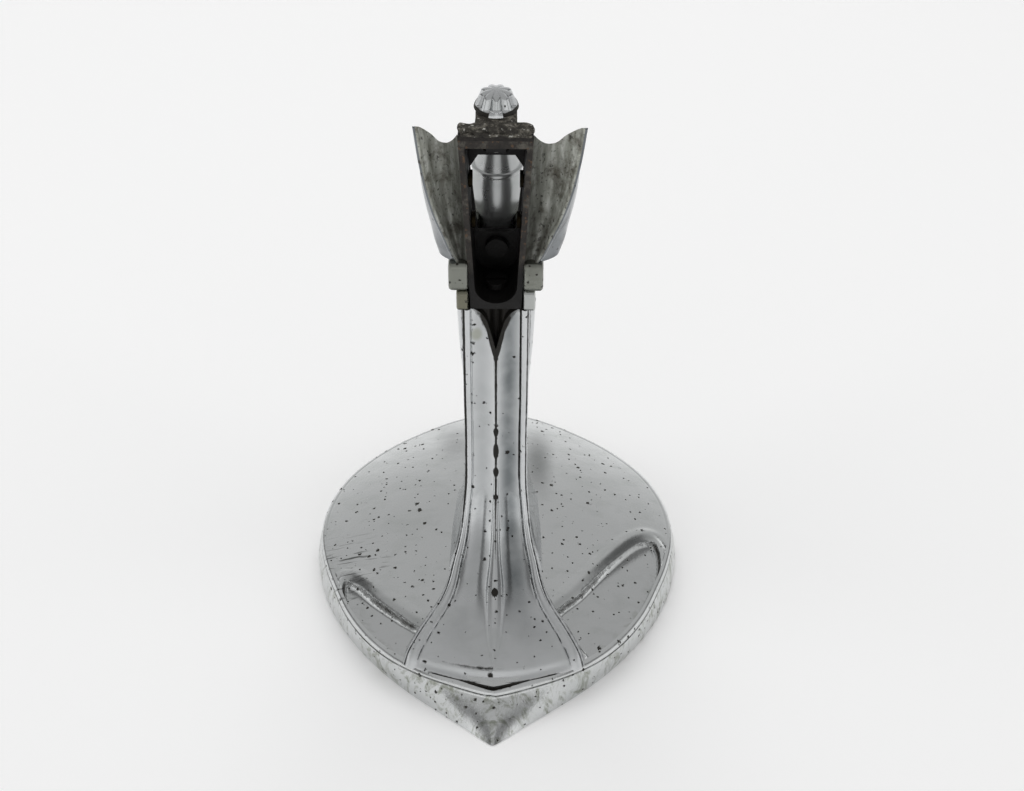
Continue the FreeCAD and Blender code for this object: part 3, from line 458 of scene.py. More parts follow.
def base_wear_and_painted_shade(tree, place, coat):
    """Painted shade over the dome beside the stem and in the recesses, as the point attribute marks it; then
    greenish scuffs and dark scratches on the skirt, thickest low down on the right of the prow.
    """
    spot = add(tree, "SeparateXYZ", place)
    shade = add(tree, "Attribute", attribute_name="film").outputs["Fac"]
    # Painted shade: a darker grey mixed in where the point attribute marks shade and the stem's reflection
    coat = add(tree, "Mix", shade, coat, "5E6160", data_type="RGBA")
    drawn = add(tree, "Mapping", place, Rotation=(0, 0, 0.5), Scale=(0.12, 1.0, 0.12))
    scratch = add(tree, "TexNoise", drawn, Scale=1 / (0.7 * MM), Detail=2.0, Distortion=0.3)
    scratch = add(tree, "MapRange", scratch, 0.6, 0.7)
    offset = add(tree, "VectorMath", place, (-33 * MM, -8 * MM, 9 * MM), operation="DISTANCE")
    within = add(tree, "MapRange", offset, 12 * MM, 5 * MM, 0.0, 0.8)
    scratch = add(tree, "Math", scratch, within, operation="MULTIPLY")
    coat = add(tree, "Mix", scratch, coat, "3E403C", data_type="RGBA")
    low = add(tree, "MapRange", spot.outputs["Z"], 7.4 * MM, 6.4 * MM)
    drawn = add(tree, "Mapping", place, Scale=(1.0, 1.0, 0.45), Rotation=(0.0, 0.5, 0.0))
    scuff = add(tree, "TexNoise", drawn, Scale=1 / (2.6 * MM), Detail=8.0, Roughness=0.72, Distortion=0.8)
    scuff = add(tree, "MapRange", scuff, 0.5, 0.62, 0.0, 0.85)
    return add(tree, "Mix", add(tree, "Math", scuff, low, operation="MULTIPLY"), coat, "8B8F82",
               data_type="RGBA")


BASE_PITS = [(2.0, 0.6, 0.22), (1.1, 0.34, 0.27), (9.0, 0.5, 0.075)]
base_chrome = chrome("chrome_on_zinc_base", "D2D4D4", BASE_PITS, (0.13, 0.24), bare="33312C", dulled=0.25,
                     relief_mm=0.4, before=base_wear_and_painted_shade)
points, faces = join([closed_skin(shell)] + bosses)
base = piece("base_shell", points, faces, base_chrome, dirt=shell_dirt, film=shell_film)
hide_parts("base_casting")
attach(base, "ornament")

# ----------
# The stem: one zinc casting, chromed. Two hollow flutes meet at a raised centre strip and end in rolled beads. It
# sweeps out into a broad foot that is screwed to the dome from below.
# Sections by height: ridge y, bead half width, bead y, side half width, nose y
STEM_HEIGHTS = [6.0, 8.4, 10.2, 12.0, 15.0, 20.0, 30.0, 42.0, 56.0, 66.0, 78.0]
STEM_SIZES = [
    (-40.6, 19.2, -34.2, 13.4, 34.0),
    (-39.8, 18.7, -33.6, 12.6, 32.0),
    (-37.4, 18.0, -32.4, 11.9, 30.0),
    (-32.6, 16.2, -29.6, 10.8, 28.2),
    (-24.6, 11.7, -22.4, 9.2, 26.0),
    (-16.2, 8.8, -14.2, 7.8, 23.4),
    (-8.4, 6.85, -6.8, 6.7, 20.8),
    (-5.4, 6.5, -4.2, 6.4, 19.6),
    (-4.4, 6.6, -3.4, 6.6, 19.0),
    (-4.4, 6.65, -3.4, 7.0, 18.9),
    (-4.4, 6.7, -3.4, 7.3, 18.9),
]
STEM_TOP = 78.0
# Half width of the centre strip and width of the bead, by height
STRIP = ([6.0, 9.9, 11.0, 12.7, 15.5, 21.0, 30.0, 78.0], [0.02, 0.05, 0.5, 1.15, 1.5, 0.9, 0.5, 0.42])
BEAD = ([6.0, 12.0, 20.0, 40.0, 78.0], [2.3, 2.3, 1.7, 1.5, 1.6])
FLUTE = ([6.0, 10.2, 14.0, 24.0, 40.0, 78.0], [0.1, 0.35, 1.1, 1.15, 0.95, 0.9])
# Large pits on the centre strip: height, half width, reach
STRIP_PITS = [(68.6, 0.45, 0.7), (64.5, 0.2, 1.2), (59.0, 0.25, 1.5), (46.8, 0.45, 1.3), (42.0, 0.5, 2.4),
              (36.9, 0.5, 1.4), (31.3, 0.5, 0.7), (16.5, 0.65, 0.55)]
# Depth of the notch under the stem's top, by distance from the middle
NOTCH = ([0.0, 0.9, 1.8, 3.0, 4.4, 9.0], [9.5, 6.0, 2.85, 1.2, 0.0, 0.0])

# Rows spaced evenly along the rear profile, from the top down to the foot's end
fine = np.linspace(STEM_TOP, 7.6, 4000)
ridge = through(fine, STEM_HEIGHTS, [s[0] for s in STEM_SIZES])
length = np.concatenate([[0], np.cumsum(np.hypot(np.diff(fine), np.diff(ridge)))])
heights = np.interp(np.linspace(0, length[-1], 232), length, fine)
ridge_y, bead_x, bead_y, side_x, nose_y = through(heights, STEM_HEIGHTS, STEM_SIZES).T
slope_y = np.gradient(ridge_y, heights)
normal_y, normal_z = -1 / np.hypot(1, slope_y), slope_y / np.hypot(1, slope_y)

REAR_COLUMNS = 73
share = np.linspace(0, 1, REAR_COLUMNS)
bead_shares = [0.86, 0.88, 0.9, 0.92, 0.94, 0.955, 0.97, 0.985, 1.0]
share = np.sort(np.concatenate([share[:-1] ** 1.15 * 0.86, bead_shares]))
across = bead_x[:, None] * share
strip, bead, flute = [through(heights, *table)[:, None] for table in (STRIP, BEAD, FLUTE)]
inner = np.clip((across - strip) / (bead_x[:, None] - bead - strip), 0, 1)
relief = -flute * np.sin(math.pi * inner) ** 0.9
relief += 0.5 * strip * bump(0.0, 1.0, across / (strip * 1.5))
relief += 0.5 * bump(0.0, 0.56, (bead_x[:, None] - 0.5 * bead - across) / bead)
inner_line = bump(0.0, 0.26, across - (bead_x[:, None] - bead - 0.15))
outer_line = bump(0.0, 0.24, across - (bead_x[:, None] - 0.3))
relief -= 0.25 * inner_line + 0.25 * outer_line
# The foot's end face is a shallow hollow under a crisp crease
relief -= 0.8 * (bump(9.25, 0.95, heights)[:, None]) * np.clip(1 - share / 0.85, 0, 1) ** 0.5
rear_y = ridge_y[:, None] + (bead_y - ridge_y)[:, None] * share ** 1.7
rear = np.stack([across, rear_y + relief * normal_y[:, None], heights[:, None] + relief * normal_z[:, None]], -1)

# Sides from the bead's outer edge, past a fine groove, to the round nose
SIDE_COLUMNS = 34
reach = (nose_y - bead_y)[:, None]
along = np.array([0.0, 0.03, 0.06, 0.3, 0.55, 0.8, 0.94, 1.0, 1.06])
side_knots_x = np.stack([bead_x, bead_x * 0.975, side_x * 0.985, side_x, side_x * 0.985, side_x * 0.78,
                         side_x * 0.4, side_x * 0, -side_x * 0.4], 0)
where = np.concatenate([[0.012, 0.024, 0.036, 0.048, 0.06], np.linspace(0.08, 1.0, SIDE_COLUMNS)])
side_across = through(where, along, side_knots_x).T
rounded = 0.94 + (where - 0.94) * (2 - (where - 0.94) / 0.06)
side_y = bead_y[:, None] + reach * np.where(where < 0.94, where, rounded)
side_y = np.minimum(side_y, nose_y[:, None])
side = np.stack([side_across, side_y, np.broadcast_to(heights[:, None], side_y.shape)], -1)
half = np.concatenate([rear, side], axis=1)
mirror = half[:, -2:0:-1] * [-1, 1, 1]
stem_grid = np.concatenate([half, mirror], axis=1)


def notched(points):
    """Lowers the rear of the stem's top into a funnel-shaped notch, by squeezing the heights above a level."""
    x, y, z = np.abs(points[..., 0]), points[..., 1], points[..., 2]
    drop = np.interp(x, *NOTCH) * (1 - step(-1.2, -0.6, y))
    base_level = STEM_TOP - 14.0
    squeezed = base_level + (z - base_level) * (STEM_TOP - drop - base_level) / (STEM_TOP - base_level)
    return np.dstack([points[..., 0], y, np.where(z > base_level, squeezed, z)])


def seated(points, depth):
    """Raises whatever is deeper in the dome than the depth, so that the foot follows the dome."""
    floor_z = dome_height(inset_at(points[..., 0], points[..., 1])) - depth
    return np.dstack([points[..., 0], points[..., 1], np.maximum(points[..., 2], floor_z)])


top_loop = stem_grid[0]
top_shares = (0.02, 0.2, 0.4, 0.55, 0.7, 0.8, 0.87, 0.93, 0.97)
top_rows = np.array([top_loop * [k, k, 1] + [0, (1 - k) * 6.0, 0] for k in top_shares])
stem_all = notched(np.concatenate([top_rows, stem_grid]))
last = stem_all[-1]
under = np.array([last * [k, k, 1] + [0, (1 - k) * -4.0, 0] for k in (0.96, 0.85, 0.7, 0.5, 0.3, 0.1)])
stem_all = seated(np.concatenate([stem_all, under]), 1.0)

# Where dirt has settled: in both lines of each bead and along its outer edge; painted shade in the notch and over
# the top under the channel; and, for each point, a painted shade that greys the right flute and, more lightly, the
# left one
tall = heights[:, None]
rear_dirt = 0.42 * inner_line + 0.62 * outer_line
# Painted shade: dark in the notch under the channel, fading over about a millimetre below its edge
rear_dirt += 1.25 * np.exp(-np.clip(STEM_TOP - np.interp(across, *NOTCH) - tall, 0, 99) / 0.9) \
    * np.clip(1.1 - across / 5.2, 0, 1)
near_centre = np.clip(1 - across / 15.0, 0, 1)
rear_dirt += 1.1 * (1 - step(8.25, 8.4 + 0.5 * near_centre, tall)) * step(0.0, 0.25, near_centre)
# The bare line along the centre strip: its half width by height, wider at the larger pits
line_width = np.interp(heights, [6.0, 16.0, 24.0, 34.0, 50.0, 68.0, 78.0], [0.0, 0.0, 0.07, 0.2, 0.2, 0.24, 0.3])
for pit_z, pit_half, pit_reach in STRIP_PITS:
    line_width = np.maximum(line_width, pit_half * np.sqrt(bump(pit_z, pit_reach, heights)))
narrow = np.maximum(line_width[:, None], 0.02)
strip_dirt = (1 - step(0.8, 1.4, across / narrow)) * (line_width[:, None] > 0.04)
rear_dirt += np.where(line_width[:, None] > 0.3, 1.2, 0.75) * strip_dirt
right_dirt = rear_dirt + 0.3 * bump(10.25, 0.3, tall) * np.clip(1.2 - across / 14.0, 0, 1)
left_dirt = rear_dirt + 0.7 * bump(10.3, 0.3, tall) * np.clip(1.2 - across / 14.0, 0, 1)
left_dirt -= 0.4 * inner_line * step(26.0, 34.0, tall)
left_dirt += 0.55 * step(-0.75, -0.3, across - bead_x[:, None]) * step(24.0, 34.0, tall)
left_dirt += 1.3 * bump(0.6, 0.8, across) * bump(9.6, 0.5, tall)
right_dirt += 0.35 * inner_line * step(30.0, 40.0, tall)
side_dirt = np.zeros(side.shape[:2])
side_dirt[:, :4] = 0.45
right_dirt = np.concatenate([right_dirt, side_dirt], axis=1)
left_dirt = np.concatenate([left_dirt, side_dirt], axis=1)
stem_dirt = np.concatenate([right_dirt, left_dirt[:, -2:0:-1]], axis=1)
# Painted shade: the closed top, under the channel, is marked fully dark
stem_dirt = np.concatenate([np.full((len(top_rows), stem_dirt.shape[1]), 1.5), stem_dirt])
# Painted shade over the flutes above the foot: full on the right flute and 0.38 of it on the left, for the darker
# surroundings they reflect
film = bump(2.7, 3.3, across / (bead_x[:, None] / 6.6)) * step(10.5, 19.0, heights)[:, None]
film_half = np.concatenate([film, np.zeros(side.shape[:2])], axis=1)
stem_film = np.concatenate([film_half, 0.38 * film_half[:, -2:0:-1]], axis=1)
stem_matt = np.broadcast_to((1 - step(12.5, 18.0, heights))[:, None], stem_film.shape)
stem_matt, stem_film = [np.pad(mark, ((len(top_rows), 0), (0, 0))) for mark in (stem_matt, stem_film)]


def stem_wear_and_painted_shade(tree, place, coat):
    """Painted shade: a greyer tone over the right flute, and more lightly over the left one, standing in for the
    darker surroundings they reflect; and an olive scuff high on the left one.
    """
    shade = add(tree, "Attribute", attribute_name="film").outputs["Fac"]
    uneven = add(tree, "TexNoise", place, Scale=1 / (7 * MM), Detail=3.0)
    shade = add(tree, "Math", shade, add(tree, "MapRange", uneven, 0.3, 0.6, 0.6, 0.95), operation="MULTIPLY")
    # Painted shade: the greyer tone is mixed in where the point attribute marks the flutes
    coat = add(tree, "Mix", shade, coat, "6E7375", data_type="RGBA")
    spot = add(tree, "Mapping", place, Location=(3.9 * MM, 0, -71.5 * MM))
    reach = add(tree, "VectorMath", add(tree, "VectorMath", spot, (1.0, 0.1, 0.75), operation="MULTIPLY"),
                operation="LENGTH")
    scuff = add(tree, "MapRange", reach, 1.5 * MM, 0.8 * MM, 0.0, 0.5)
    return add(tree, "Mix", scuff, coat, "8A8C74", data_type="RGBA")


STEM_PITS = [(2.4, 0.42, 0.2), (1.2, 0.26, 0.26)]
stem_chrome = chrome("chrome_on_zinc_stem", "D2D4D5", STEM_PITS, (0.13, 0.24), bare="211F1B", dulled=0.2,
                     relief_mm=0.3, before=stem_wear_and_painted_shade)
points, faces = closed_skin(stem_all)
stem = piece("fluted_stem", points, faces, stem_chrome, sharp=50.0, dirt=stem_dirt, film=stem_film,
             matt=stem_matt)
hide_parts("stem_casting")
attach(stem, "ornament")

# ----------
# The two collars: chromed brass stampings that clamp the head to the stem, each a U round the channel and the
# strut, with a rounded lug at both rear ends.
CHANNEL_HALF = 5.35
STRUT_Y = 14.4
STRUT_NECK = 3.4
COLLAR_REAR = -4.6
COLLAR_BEND = 11.6


def collar(name, half, foot, top, finish, node):
    """A swept band: at each step of the U, a rounded rectangle between an inner and an outer path, whose ends
    shrink to a pole over the last millimetre so that the lugs are rounded."""
    straight = np.concatenate([COLLAR_REAR + 1 - np.cos(np.linspace(0, math.pi / 2, 9)),
                               np.linspace(-3.0, COLLAR_BEND, 20)[1:]])
    swing = np.linspace(0, math.pi, 41)[1:-1]
    outer = np.vstack([np.column_stack([np.full(len(straight), half), straight]),
                       np.column_stack([half * np.cos(swing), COLLAR_BEND + half * np.sin(swing)])])
    inner_x = np.interp(straight, [COLLAR_REAR, 8.8, COLLAR_BEND], [CHANNEL_HALF, CHANNEL_HALF, STRUT_NECK])
    inner = np.vstack([np.column_stack([inner_x, np.minimum(straight, STRUT_Y)]),
                       np.column_stack([STRUT_NECK * np.cos(swing), STRUT_Y + STRUT_NECK * np.sin(swing)])])
    back = slice(len(straight) - 1, None, -1)
    outer = np.vstack([outer, outer[:len(straight)][::-1] * [-1, 1]])
    inner = np.vstack([inner, inner[:len(straight)][::-1] * [-1, 1]])
    count = len(outer)
    tilt = np.linspace(0, 2 * math.pi, 40, endpoint=False)
    wide = np.sign(np.cos(tilt)) * np.abs(np.cos(tilt)) ** 0.32
    tall = np.sign(np.sin(tilt)) * np.abs(np.sin(tilt)) ** 0.22
    end = np.ones(count)
    end[:9] = 0.55 + 0.45 * np.sin(np.linspace(0, math.pi / 2, 9))
    end[-9:] = end[:9][::-1]
    middle, reach = (outer + inner) / 2, (outer - inner) / 2
    xy = middle[:, None] + reach[:, None] * (wide[None, :, None] * end[:, None, None])
    z = (foot + top) / 2 + (top - foot) / 2 * tall[None] * end[:, None]
    made = piece(name, *closed_skin(np.dstack([xy, np.broadcast_to(z, xy.shape[:2])])), finish, sharp=60.0)
    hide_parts(node)
    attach(made, "ornament")


LUG_PITS = [(1.5, 0.6, 0.26), (0.8, 0.4, 0.26)]
collar_chrome = chrome("pitted_collar_chrome", "84867F", LUG_PITS, (0.2, 0.38), dulled=0.8, dull="5F6058",
                       bare="2E2B26")


def left_tarnish(tree, place, coat):
    """A brownish green tarnish over the left lug."""
    left = add(tree, "MapRange", add(tree, "SeparateXYZ", place).outputs["X"], 1 * MM, -4 * MM, 0.0, 0.85)
    return add(tree, "Mix", left, coat, "666350", data_type="RGBA")


lower_chrome = chrome("tarnished_collar_chrome", "B4B6B4", LUG_PITS, (0.14, 0.3), before=left_tarnish)
collar("lower_clamp", 7.8, 78.05, 82.8, lower_chrome, "lower_collar")
collar("upper_clamp", 9.3, 82.85, 89.4, collar_chrome, "upper_collar")

# ----------
# The channel: an open-backed zinc die casting that was never plated inside, gone brown-black with oxide and grime;
# painted shade makes all of it near black but its upper rear edges.
# Its own shape is right, so it keeps its solid and gets its finish here.
zinc, tree, shader, place = material("oxidised_zinc_and_painted_shade")
grime = add(tree, "TexNoise", place, Scale=1 / (3 * MM), Detail=6.0, Roughness=0.7)
rust = add(tree, "TexNoise", place, Scale=1 / (0.9 * MM), Detail=3.0)
spot = add(tree, "SeparateXYZ", place)
edge = add(tree, "MapRange", spot.outputs["Y"], -1.8 * MM, -3.3 * MM)
body = add(tree, "ValToRGB", grime, stops=[(0.3, "14110E"), (0.52, "2E2A26"), (0.7, "625F57")])
body = add(tree, "Mix", add(tree, "ValToRGB", rust, stops=[(0.6, 0.0), (0.66, 0.8)]), body, "5A4532",
           data_type="RGBA")
# Painted shade: below 86 mm, and everywhere deeper in than the rear edges, the channel is painted near black for
# the shade of its cavity
high = add(tree, "MapRange", spot.outputs["Z"], 86 * MM, 91 * MM)
edge = add(tree, "Math", edge, high, operation="MULTIPLY")
body = add(tree, "Mix", edge, "0B0908", body, data_type="RGBA")
put(shader, Base_Color=body, Metallic=0.35, Roughness=add(tree, "MapRange", grime, 0.0, 1.0, 0.35, 0.75),
    Normal=add(tree, "Bump", Height=grime, Strength=0.7, Distance=0.3 * MM))


def refinish(names, finish):
    """Gives CAD solids whose shape is kept their finish."""
    for name in names:
        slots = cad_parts[name].data.materials
        slots.clear()
        slots.append(finish)


refinish(["channel_frame"], zinc)

# ----------
# The strut: a post turned from brass bar, polished and chromed, that stands in front of the channel's window. It
# has a plain neck, a long belly, a turned bead and a blunt cone.
strut_chrome = chrome("hazed_turned_chrome", "B8BABA", [(4.0, 0.2, 0.1)], (0.24, 0.34), relief_mm=0.05, metal=0.82)
profile_z = np.concatenate([[78.0, 78.2], np.linspace(79, 86.0, 12), np.linspace(86.6, 99.4, 60), [99.7]])
profile_r = np.maximum(STRUT_NECK, 5.2 * np.sqrt(np.clip(1 - ((profile_z - 95.6) / 9.4) ** 2, 0, 1)))
profile_r[0] -= 0.2
bead_turn = np.linspace(-math.pi / 2, math.pi / 2, 15)
bead_z, bead_r = 100.4 + 0.62 * np.sin(bead_turn), 4.55 + 0.62 * np.cos(bead_turn)
cone_z = np.concatenate([np.linspace(101.2, 105.4, 16), 105.4 + 2.4 * np.sin(np.linspace(0.12, math.pi / 2, 14))])
cone_r = np.concatenate([np.linspace(4.5, 3.6, 16), 3.6 * np.cos(np.linspace(0.12, math.pi / 2, 14)) + 0.01])
profile_z = np.concatenate([profile_z, bead_z, cone_z])
profile_r = np.concatenate([profile_r, bead_r, cone_r])


def turned(name, x, y, radii, heights, sides, finish, sharp=35.0, flute=None, **marks):
    """A turned shape: a profile of radii and heights carried round an upright axis; flute may change a radius."""
    around = np.linspace(0, 2 * math.pi, sides, endpoint=False)
    radius = np.broadcast_to(np.asarray(radii)[:, None], (len(radii), sides)).copy()
    tall = np.broadcast_to(np.asarray(heights)[:, None], radius.shape)
    if flute is not None:
        radius = flute(radius, tall, around[None])
    grid = np.dstack([x + radius * np.cos(around), y + radius * np.sin(around), tall])
    return piece(name, *closed_skin(grid), finish, sharp=sharp, **marks)


strut = turned("turned_strut", 0, STRUT_Y, profile_r, profile_z, 128, strut_chrome, sharp=30.0)
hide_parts("front_strut")
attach(strut, "ornament")

# ----------
# The wings: two zinc castings riveted to the channel, chromed and polished outside and left bare in the hollow
# that faces the rear, where they have gone a dull greenish grey with upright stains.
WING_HEIGHTS = [89.4, 92.0, 96.0, 101.0, 106.0, 112.0, 119.5]
# Front y of the root, outer bulge (x, y), rim (x, y), pocket (x, y)
WING_SIZES = [
    (5.6, 11.6, -0.4, 8.4, -3.2, 7.0, -2.4),
    (6.8, 12.6, 0.6, 9.4, -3.8, 7.7, -1.7),
    (7.6, 13.4, 1.4, 10.8, -4.2, 8.6, -0.8),
    (8.0, 14.3, 1.4, 12.7, -4.1, 9.6, -0.1),
    (8.2, 14.9, 1.2, 14.1, -3.7, 10.4, 0.4),
    (8.2, 14.8, 2.0, 15.3, -3.0, 10.9, 0.7),
    (8.2, 14.6, 3.2, 16.3, -2.4, 11.4, 0.8),
]
# The scalloped top edge's height, by distance from the middle
WING_EDGE = ([4.6, 6.6, 8.0, 9.6, 11.4, 12.4, 13.8, 20.0],
             [119.2, 118.2, 117.2, 116.8, 117.5, 118.5, 119.3, 119.5])
WING_EDGE_Y = -2.4
WING_EDGE_SLOPE = 0.9
HEAD_HALF = 7.1
FOOT_HALF = 5.0
CHANNEL_TOP = 117.5
WING_TOP = 119.5
WING_REAR = -3.2
RIM_THICK = 1.0


def wall_face(height):
    """Half width of the channel at a height: it widens evenly from its foot to its top."""
    return FOOT_HALF + (height - STEM_TOP) * (HEAD_HALF - FOOT_HALF) / (CHANNEL_TOP - STEM_TOP)


def arch(start, middle, end, share):
    """The parabola through three points, the middle one reached at its share of the two chords' length."""
    first = np.linalg.norm(middle - start, axis=-1, keepdims=True)
    second = np.linalg.norm(end - middle, axis=-1, keepdims=True)
    at = first / (first + second)
    u = share[..., None]
    return start * (u - at) * (u - 1) / at + middle * u * (u - 1) / (at * (at - 1)) + end * u * (u - at) / (1 - at)


def wing_loop(height, span, share, part):
    """Points of a wing's section for each height: on part 0 the outer arch, on part 1 the hollow one."""
    sizes = np.moveaxis(through(height, WING_HEIGHTS, WING_SIZES), -1, 0)
    root_y, bulge_x, bulge_y, rim_x, rim_y, pocket_x, pocket_y = sizes
    root = wall_face(height)
    bulge, rim, pocket = [root + (x - root) * span for x in (bulge_x, rim_x, pocket_x)]
    rear = np.full_like(root, WING_REAR)
    if part == 0:
        stops = (root, root_y), (bulge, bulge_y), (rim, rim_y)
    else:
        stops = (rim - RIM_THICK, rim_y), (pocket, pocket_y), (root, rear)
    return arch(*[np.stack(stop, -1) for stop in stops], share)


def wing(name, span, side, node):
    """A wing between its foot and its scalloped top edge. Each column's height is found by repeating: the edge's
    height where the column's top lies, then the place of the column at that height."""
    rows, columns = 110, 64
    rise = np.concatenate([np.linspace(0, 0.04, 6)[:-1], np.linspace(0.04, 0.985, rows - 10),
                           np.linspace(0.985, 1, 6)[1:]])
    loops = []
    for part in (0, 1):
        share = np.broadcast_to(np.linspace(0, 1, columns), (len(rise), columns))
        height = np.broadcast_to(WING_HEIGHTS[0] + rise[:, None] * 30.0, share.shape)
        for _ in range(6):
            xy = wing_loop(height, span, share, part)
            plain = HEAD_HALF + (xy[..., 0] - HEAD_HALF) / span
            edge = through(plain, *WING_EDGE) - WING_EDGE_SLOPE * (xy[..., 1] - WING_EDGE_Y)
            height = WING_HEIGHTS[0] + rise[:, None] * (np.minimum(edge, WING_TOP) - WING_HEIGHTS[0])
        loops.append(np.dstack([wing_loop(height, span, share, part), height]))
    outer, hollow = loops
    # The rim's edge is half round: five columns between the outer and the hollow arch, pushed to the rear
    turn_round = np.linspace(0, math.pi, 7)[1:-1]
    middle, reach = (outer[:, -1] + hollow[:, 0]) / 2, (outer[:, -1] - hollow[:, 0]) / 2
    edge_columns = middle[:, None] + reach[:, None] * np.cos(turn_round)[None, :, None]
    edge_columns[..., 1] -= 0.42 * np.sin(turn_round)[None]
    grid = np.concatenate([outer, edge_columns, hollow], axis=1)
    inside = np.concatenate([np.zeros(columns + 2), [0.5], np.ones(columns + 2)])
    total = grid.shape[1]
    faces = grid_faces(len(rise), total)
    # Top and foot are closed by strips that join each outer column to the hollow one facing it
    for row, flip in ((0, False), (len(rise) - 1, True)):
        a = row * total + np.arange(total // 2)
        b = row * total + total - 1 - np.arange(total // 2)
        strip = np.stack([a[:-1], a[1:], b[1:], b[:-1]], -1)
        faces += (strip[:, ::-1] if flip else strip).tolist()
        faces.append([int(a[-1]), row * total + total // 2, int(b[-1])])
    points = grid.reshape(-1, 3) * [side, 1, 1]
    made = piece(name, points, faces, wing_chrome, sharp=55.0, bare=np.tile(inside, len(rise)))
    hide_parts(node)
    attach(made, "ornament")


WING_PITS = [(2.4, 0.5, 0.2), (1.2, 0.3, 0.22)]
# Painted shade: the outside chrome gets a darker colour than the other chrome, for the darker surroundings it
# reflects
wing_chrome = chrome("chrome_outside_bare_zinc_inside", "777B7E", WING_PITS, (0.1, 0.22), dulled=0.8,
                     dull="4E5252")
# The bare attribute swaps the chrome for dull grey zinc with upright stains, brown patches and dark grains
tree = wing_chrome.node_tree
shader = tree.nodes["Principled BSDF"]
place = add(tree, "TexCoord").outputs["Object"]
mask = add(tree, "Attribute", attribute_name="bare").outputs["Fac"]
mask = add(tree, "MapRange", mask, 0.35, 0.65)
upright = add(tree, "Mapping", place, Scale=(1, 1, 0.16))
stains = add(tree, "TexNoise", upright, Scale=1 / (1.5 * MM), Detail=5.0, Roughness=0.65)
patches = add(tree, "TexNoise", place, Scale=1 / (5 * MM), Detail=6.0, Roughness=0.7)
bared = add(tree, "ValToRGB", stains, stops=[(0.3, "77776E"), (0.52, "B4B6AD"), (0.7, "E4E6E0")])
bared = add(tree, "Mix", add(tree, "ValToRGB", patches, stops=[(0.5, 0.0), (0.66, 0.9)]), bared,
            "5A5549", data_type="RGBA")
grains = add(tree, "TexNoise", place, Scale=1 / (0.8 * MM), Detail=3.0)
bared = add(tree, "Mix", add(tree, "ValToRGB", grains, stops=[(0.6, 0.0), (0.68, 0.8)]), bared,
            "2E2A25", data_type="RGBA")
# Painted shade: the bare zinc is darkened beside the channel, where the hollow meets it, and lightens towards the
# rim
outward = add(tree, "Math", add(tree, "SeparateXYZ", place).outputs["X"], operation="ABSOLUTE")
outward = add(tree, "MapRange", outward, 6.5 * MM, 14.5 * MM, 0.3)
bared = add(tree, "Mix", 1.0, bared, outward, data_type="RGBA", blend_type="MULTIPLY")
for name, value in (("Base_Color", bared), ("Metallic", 0.3), ("Roughness", 0.5)):
    was = shader.inputs[name.replace("_", " ")].links[0].from_socket
    kind = "RGBA" if name == "Base_Color" else "FLOAT"
    put(shader, **{name: add(tree, "Mix", mask, was, value, data_type=kind)})
wing("wing_right", 1.09, 1, "right_wing")
wing("wing_left", 0.91, -1, "left_wing")

# ----------
# The top plate: a small iron T-plate over a rubber gasket, crusted with corrosion, that clamps the head shut.
ROUGH_WAVES = np.random.default_rng(7).normal(size=(26, 3))
ROUGH_PHASES = np.random.default_rng(8).uniform(0, 2 * math.pi, 26)


def rough(points, size, depth):
    """Pushes points by a fixed sum of sine waves of random directions, about the given size and depth."""
    waves = ROUGH_WAVES / size * 2.2
    value = np.sin(points @ waves.T + ROUGH_PHASES)
    push = np.stack([value[..., 0:8].sum(-1), value[..., 8:16].sum(-1), value[..., 16:26].sum(-1)], -1)
    return points + push * depth / 4


def crust_block(low, high, roundness, size, depth, rows=70, columns=150):
    """A rounded block: a sphere's directions raised to a power towards a box, then roughened."""
    tilt = np.linspace(0.04, math.pi - 0.04, rows)[:, None]
    spin = np.linspace(0, 2 * math.pi, columns, endpoint=False)[None]
    shape = np.dstack([np.sin(tilt) * np.cos(spin), np.sin(tilt) * np.sin(spin), np.cos(tilt) + 0 * spin])
    shape = np.sign(shape) * np.abs(shape) ** roundness
    low, high = np.array(low), np.array(high)
    return closed_skin(rough((low + high) / 2 + shape * (high - low) / 2, size, depth))


# Corroded cast iron: a matt dark crust with pale flecks of scale
iron, tree, shader, place = material("corroded_cast_iron")
scale = add(tree, "TexNoise", place, Scale=1 / (1.6 * MM), Detail=8.0, Roughness=0.75)
flecks = add(tree, "TexNoise", place, Scale=1 / (0.7 * MM), Detail=3.0)
dark = add(tree, "ValToRGB", scale, stops=[(0.34, "1D1A16"), (0.5, "3D3A34"),
                                           (0.62, "7D796F"), (0.72, "A5A298")])
pale = add(tree, "ValToRGB", flecks, stops=[(0.64, 0.0), (0.7, 0.8)])
put(shader, Base_Color=add(tree, "Mix", pale, dark, "C9C9C2", data_type="RGBA"), Metallic=0.25,
    Roughness=0.72, Normal=add(tree, "Bump", Height=scale, Strength=1.0, Distance=0.5 * MM))
blocks = [crust_block((-7.2, -4.0, 118.4), (7.2, -1.0, 120.15), 0.45, 1.7, 0.28),
          crust_block((-6.6, -4.15, 118.3), (6.7, -2.4, 119.2), 0.5, 1.1, 0.25),
          crust_block((-3.9, -2.6, 118.5), (3.9, 8.1, 120.0), 0.35, 2.2, 0.08)]
plate = piece("crusted_plate", *join(blocks), iron, sharp=80.0)
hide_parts("top_plate")
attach(plate, "ornament")

# The gasket keeps its solid. Perished moulded rubber: near black, matt and crumbly
rubber, tree, shader, place = material("perished_rubber")
crumb = add(tree, "TexNoise", place, Scale=1 / (0.9 * MM), Detail=5.0, Roughness=0.7)
put(shader, Base_Color=add(tree, "ValToRGB", crumb, stops=[(0.35, "14110F"), (0.7, "2C2824")]),
    Roughness=0.85, Normal=add(tree, "Bump", Height=crumb, Strength=0.6, Distance=0.2 * MM))
refinish(["top_gasket"], rubber)

# ----------
# The cap nut: a small bell-shaped acorn nut, pressed and chromed, with eight flutes for the fingers and a tab at
# its foot. It turns on the stud.
CAP_Y = 4.2
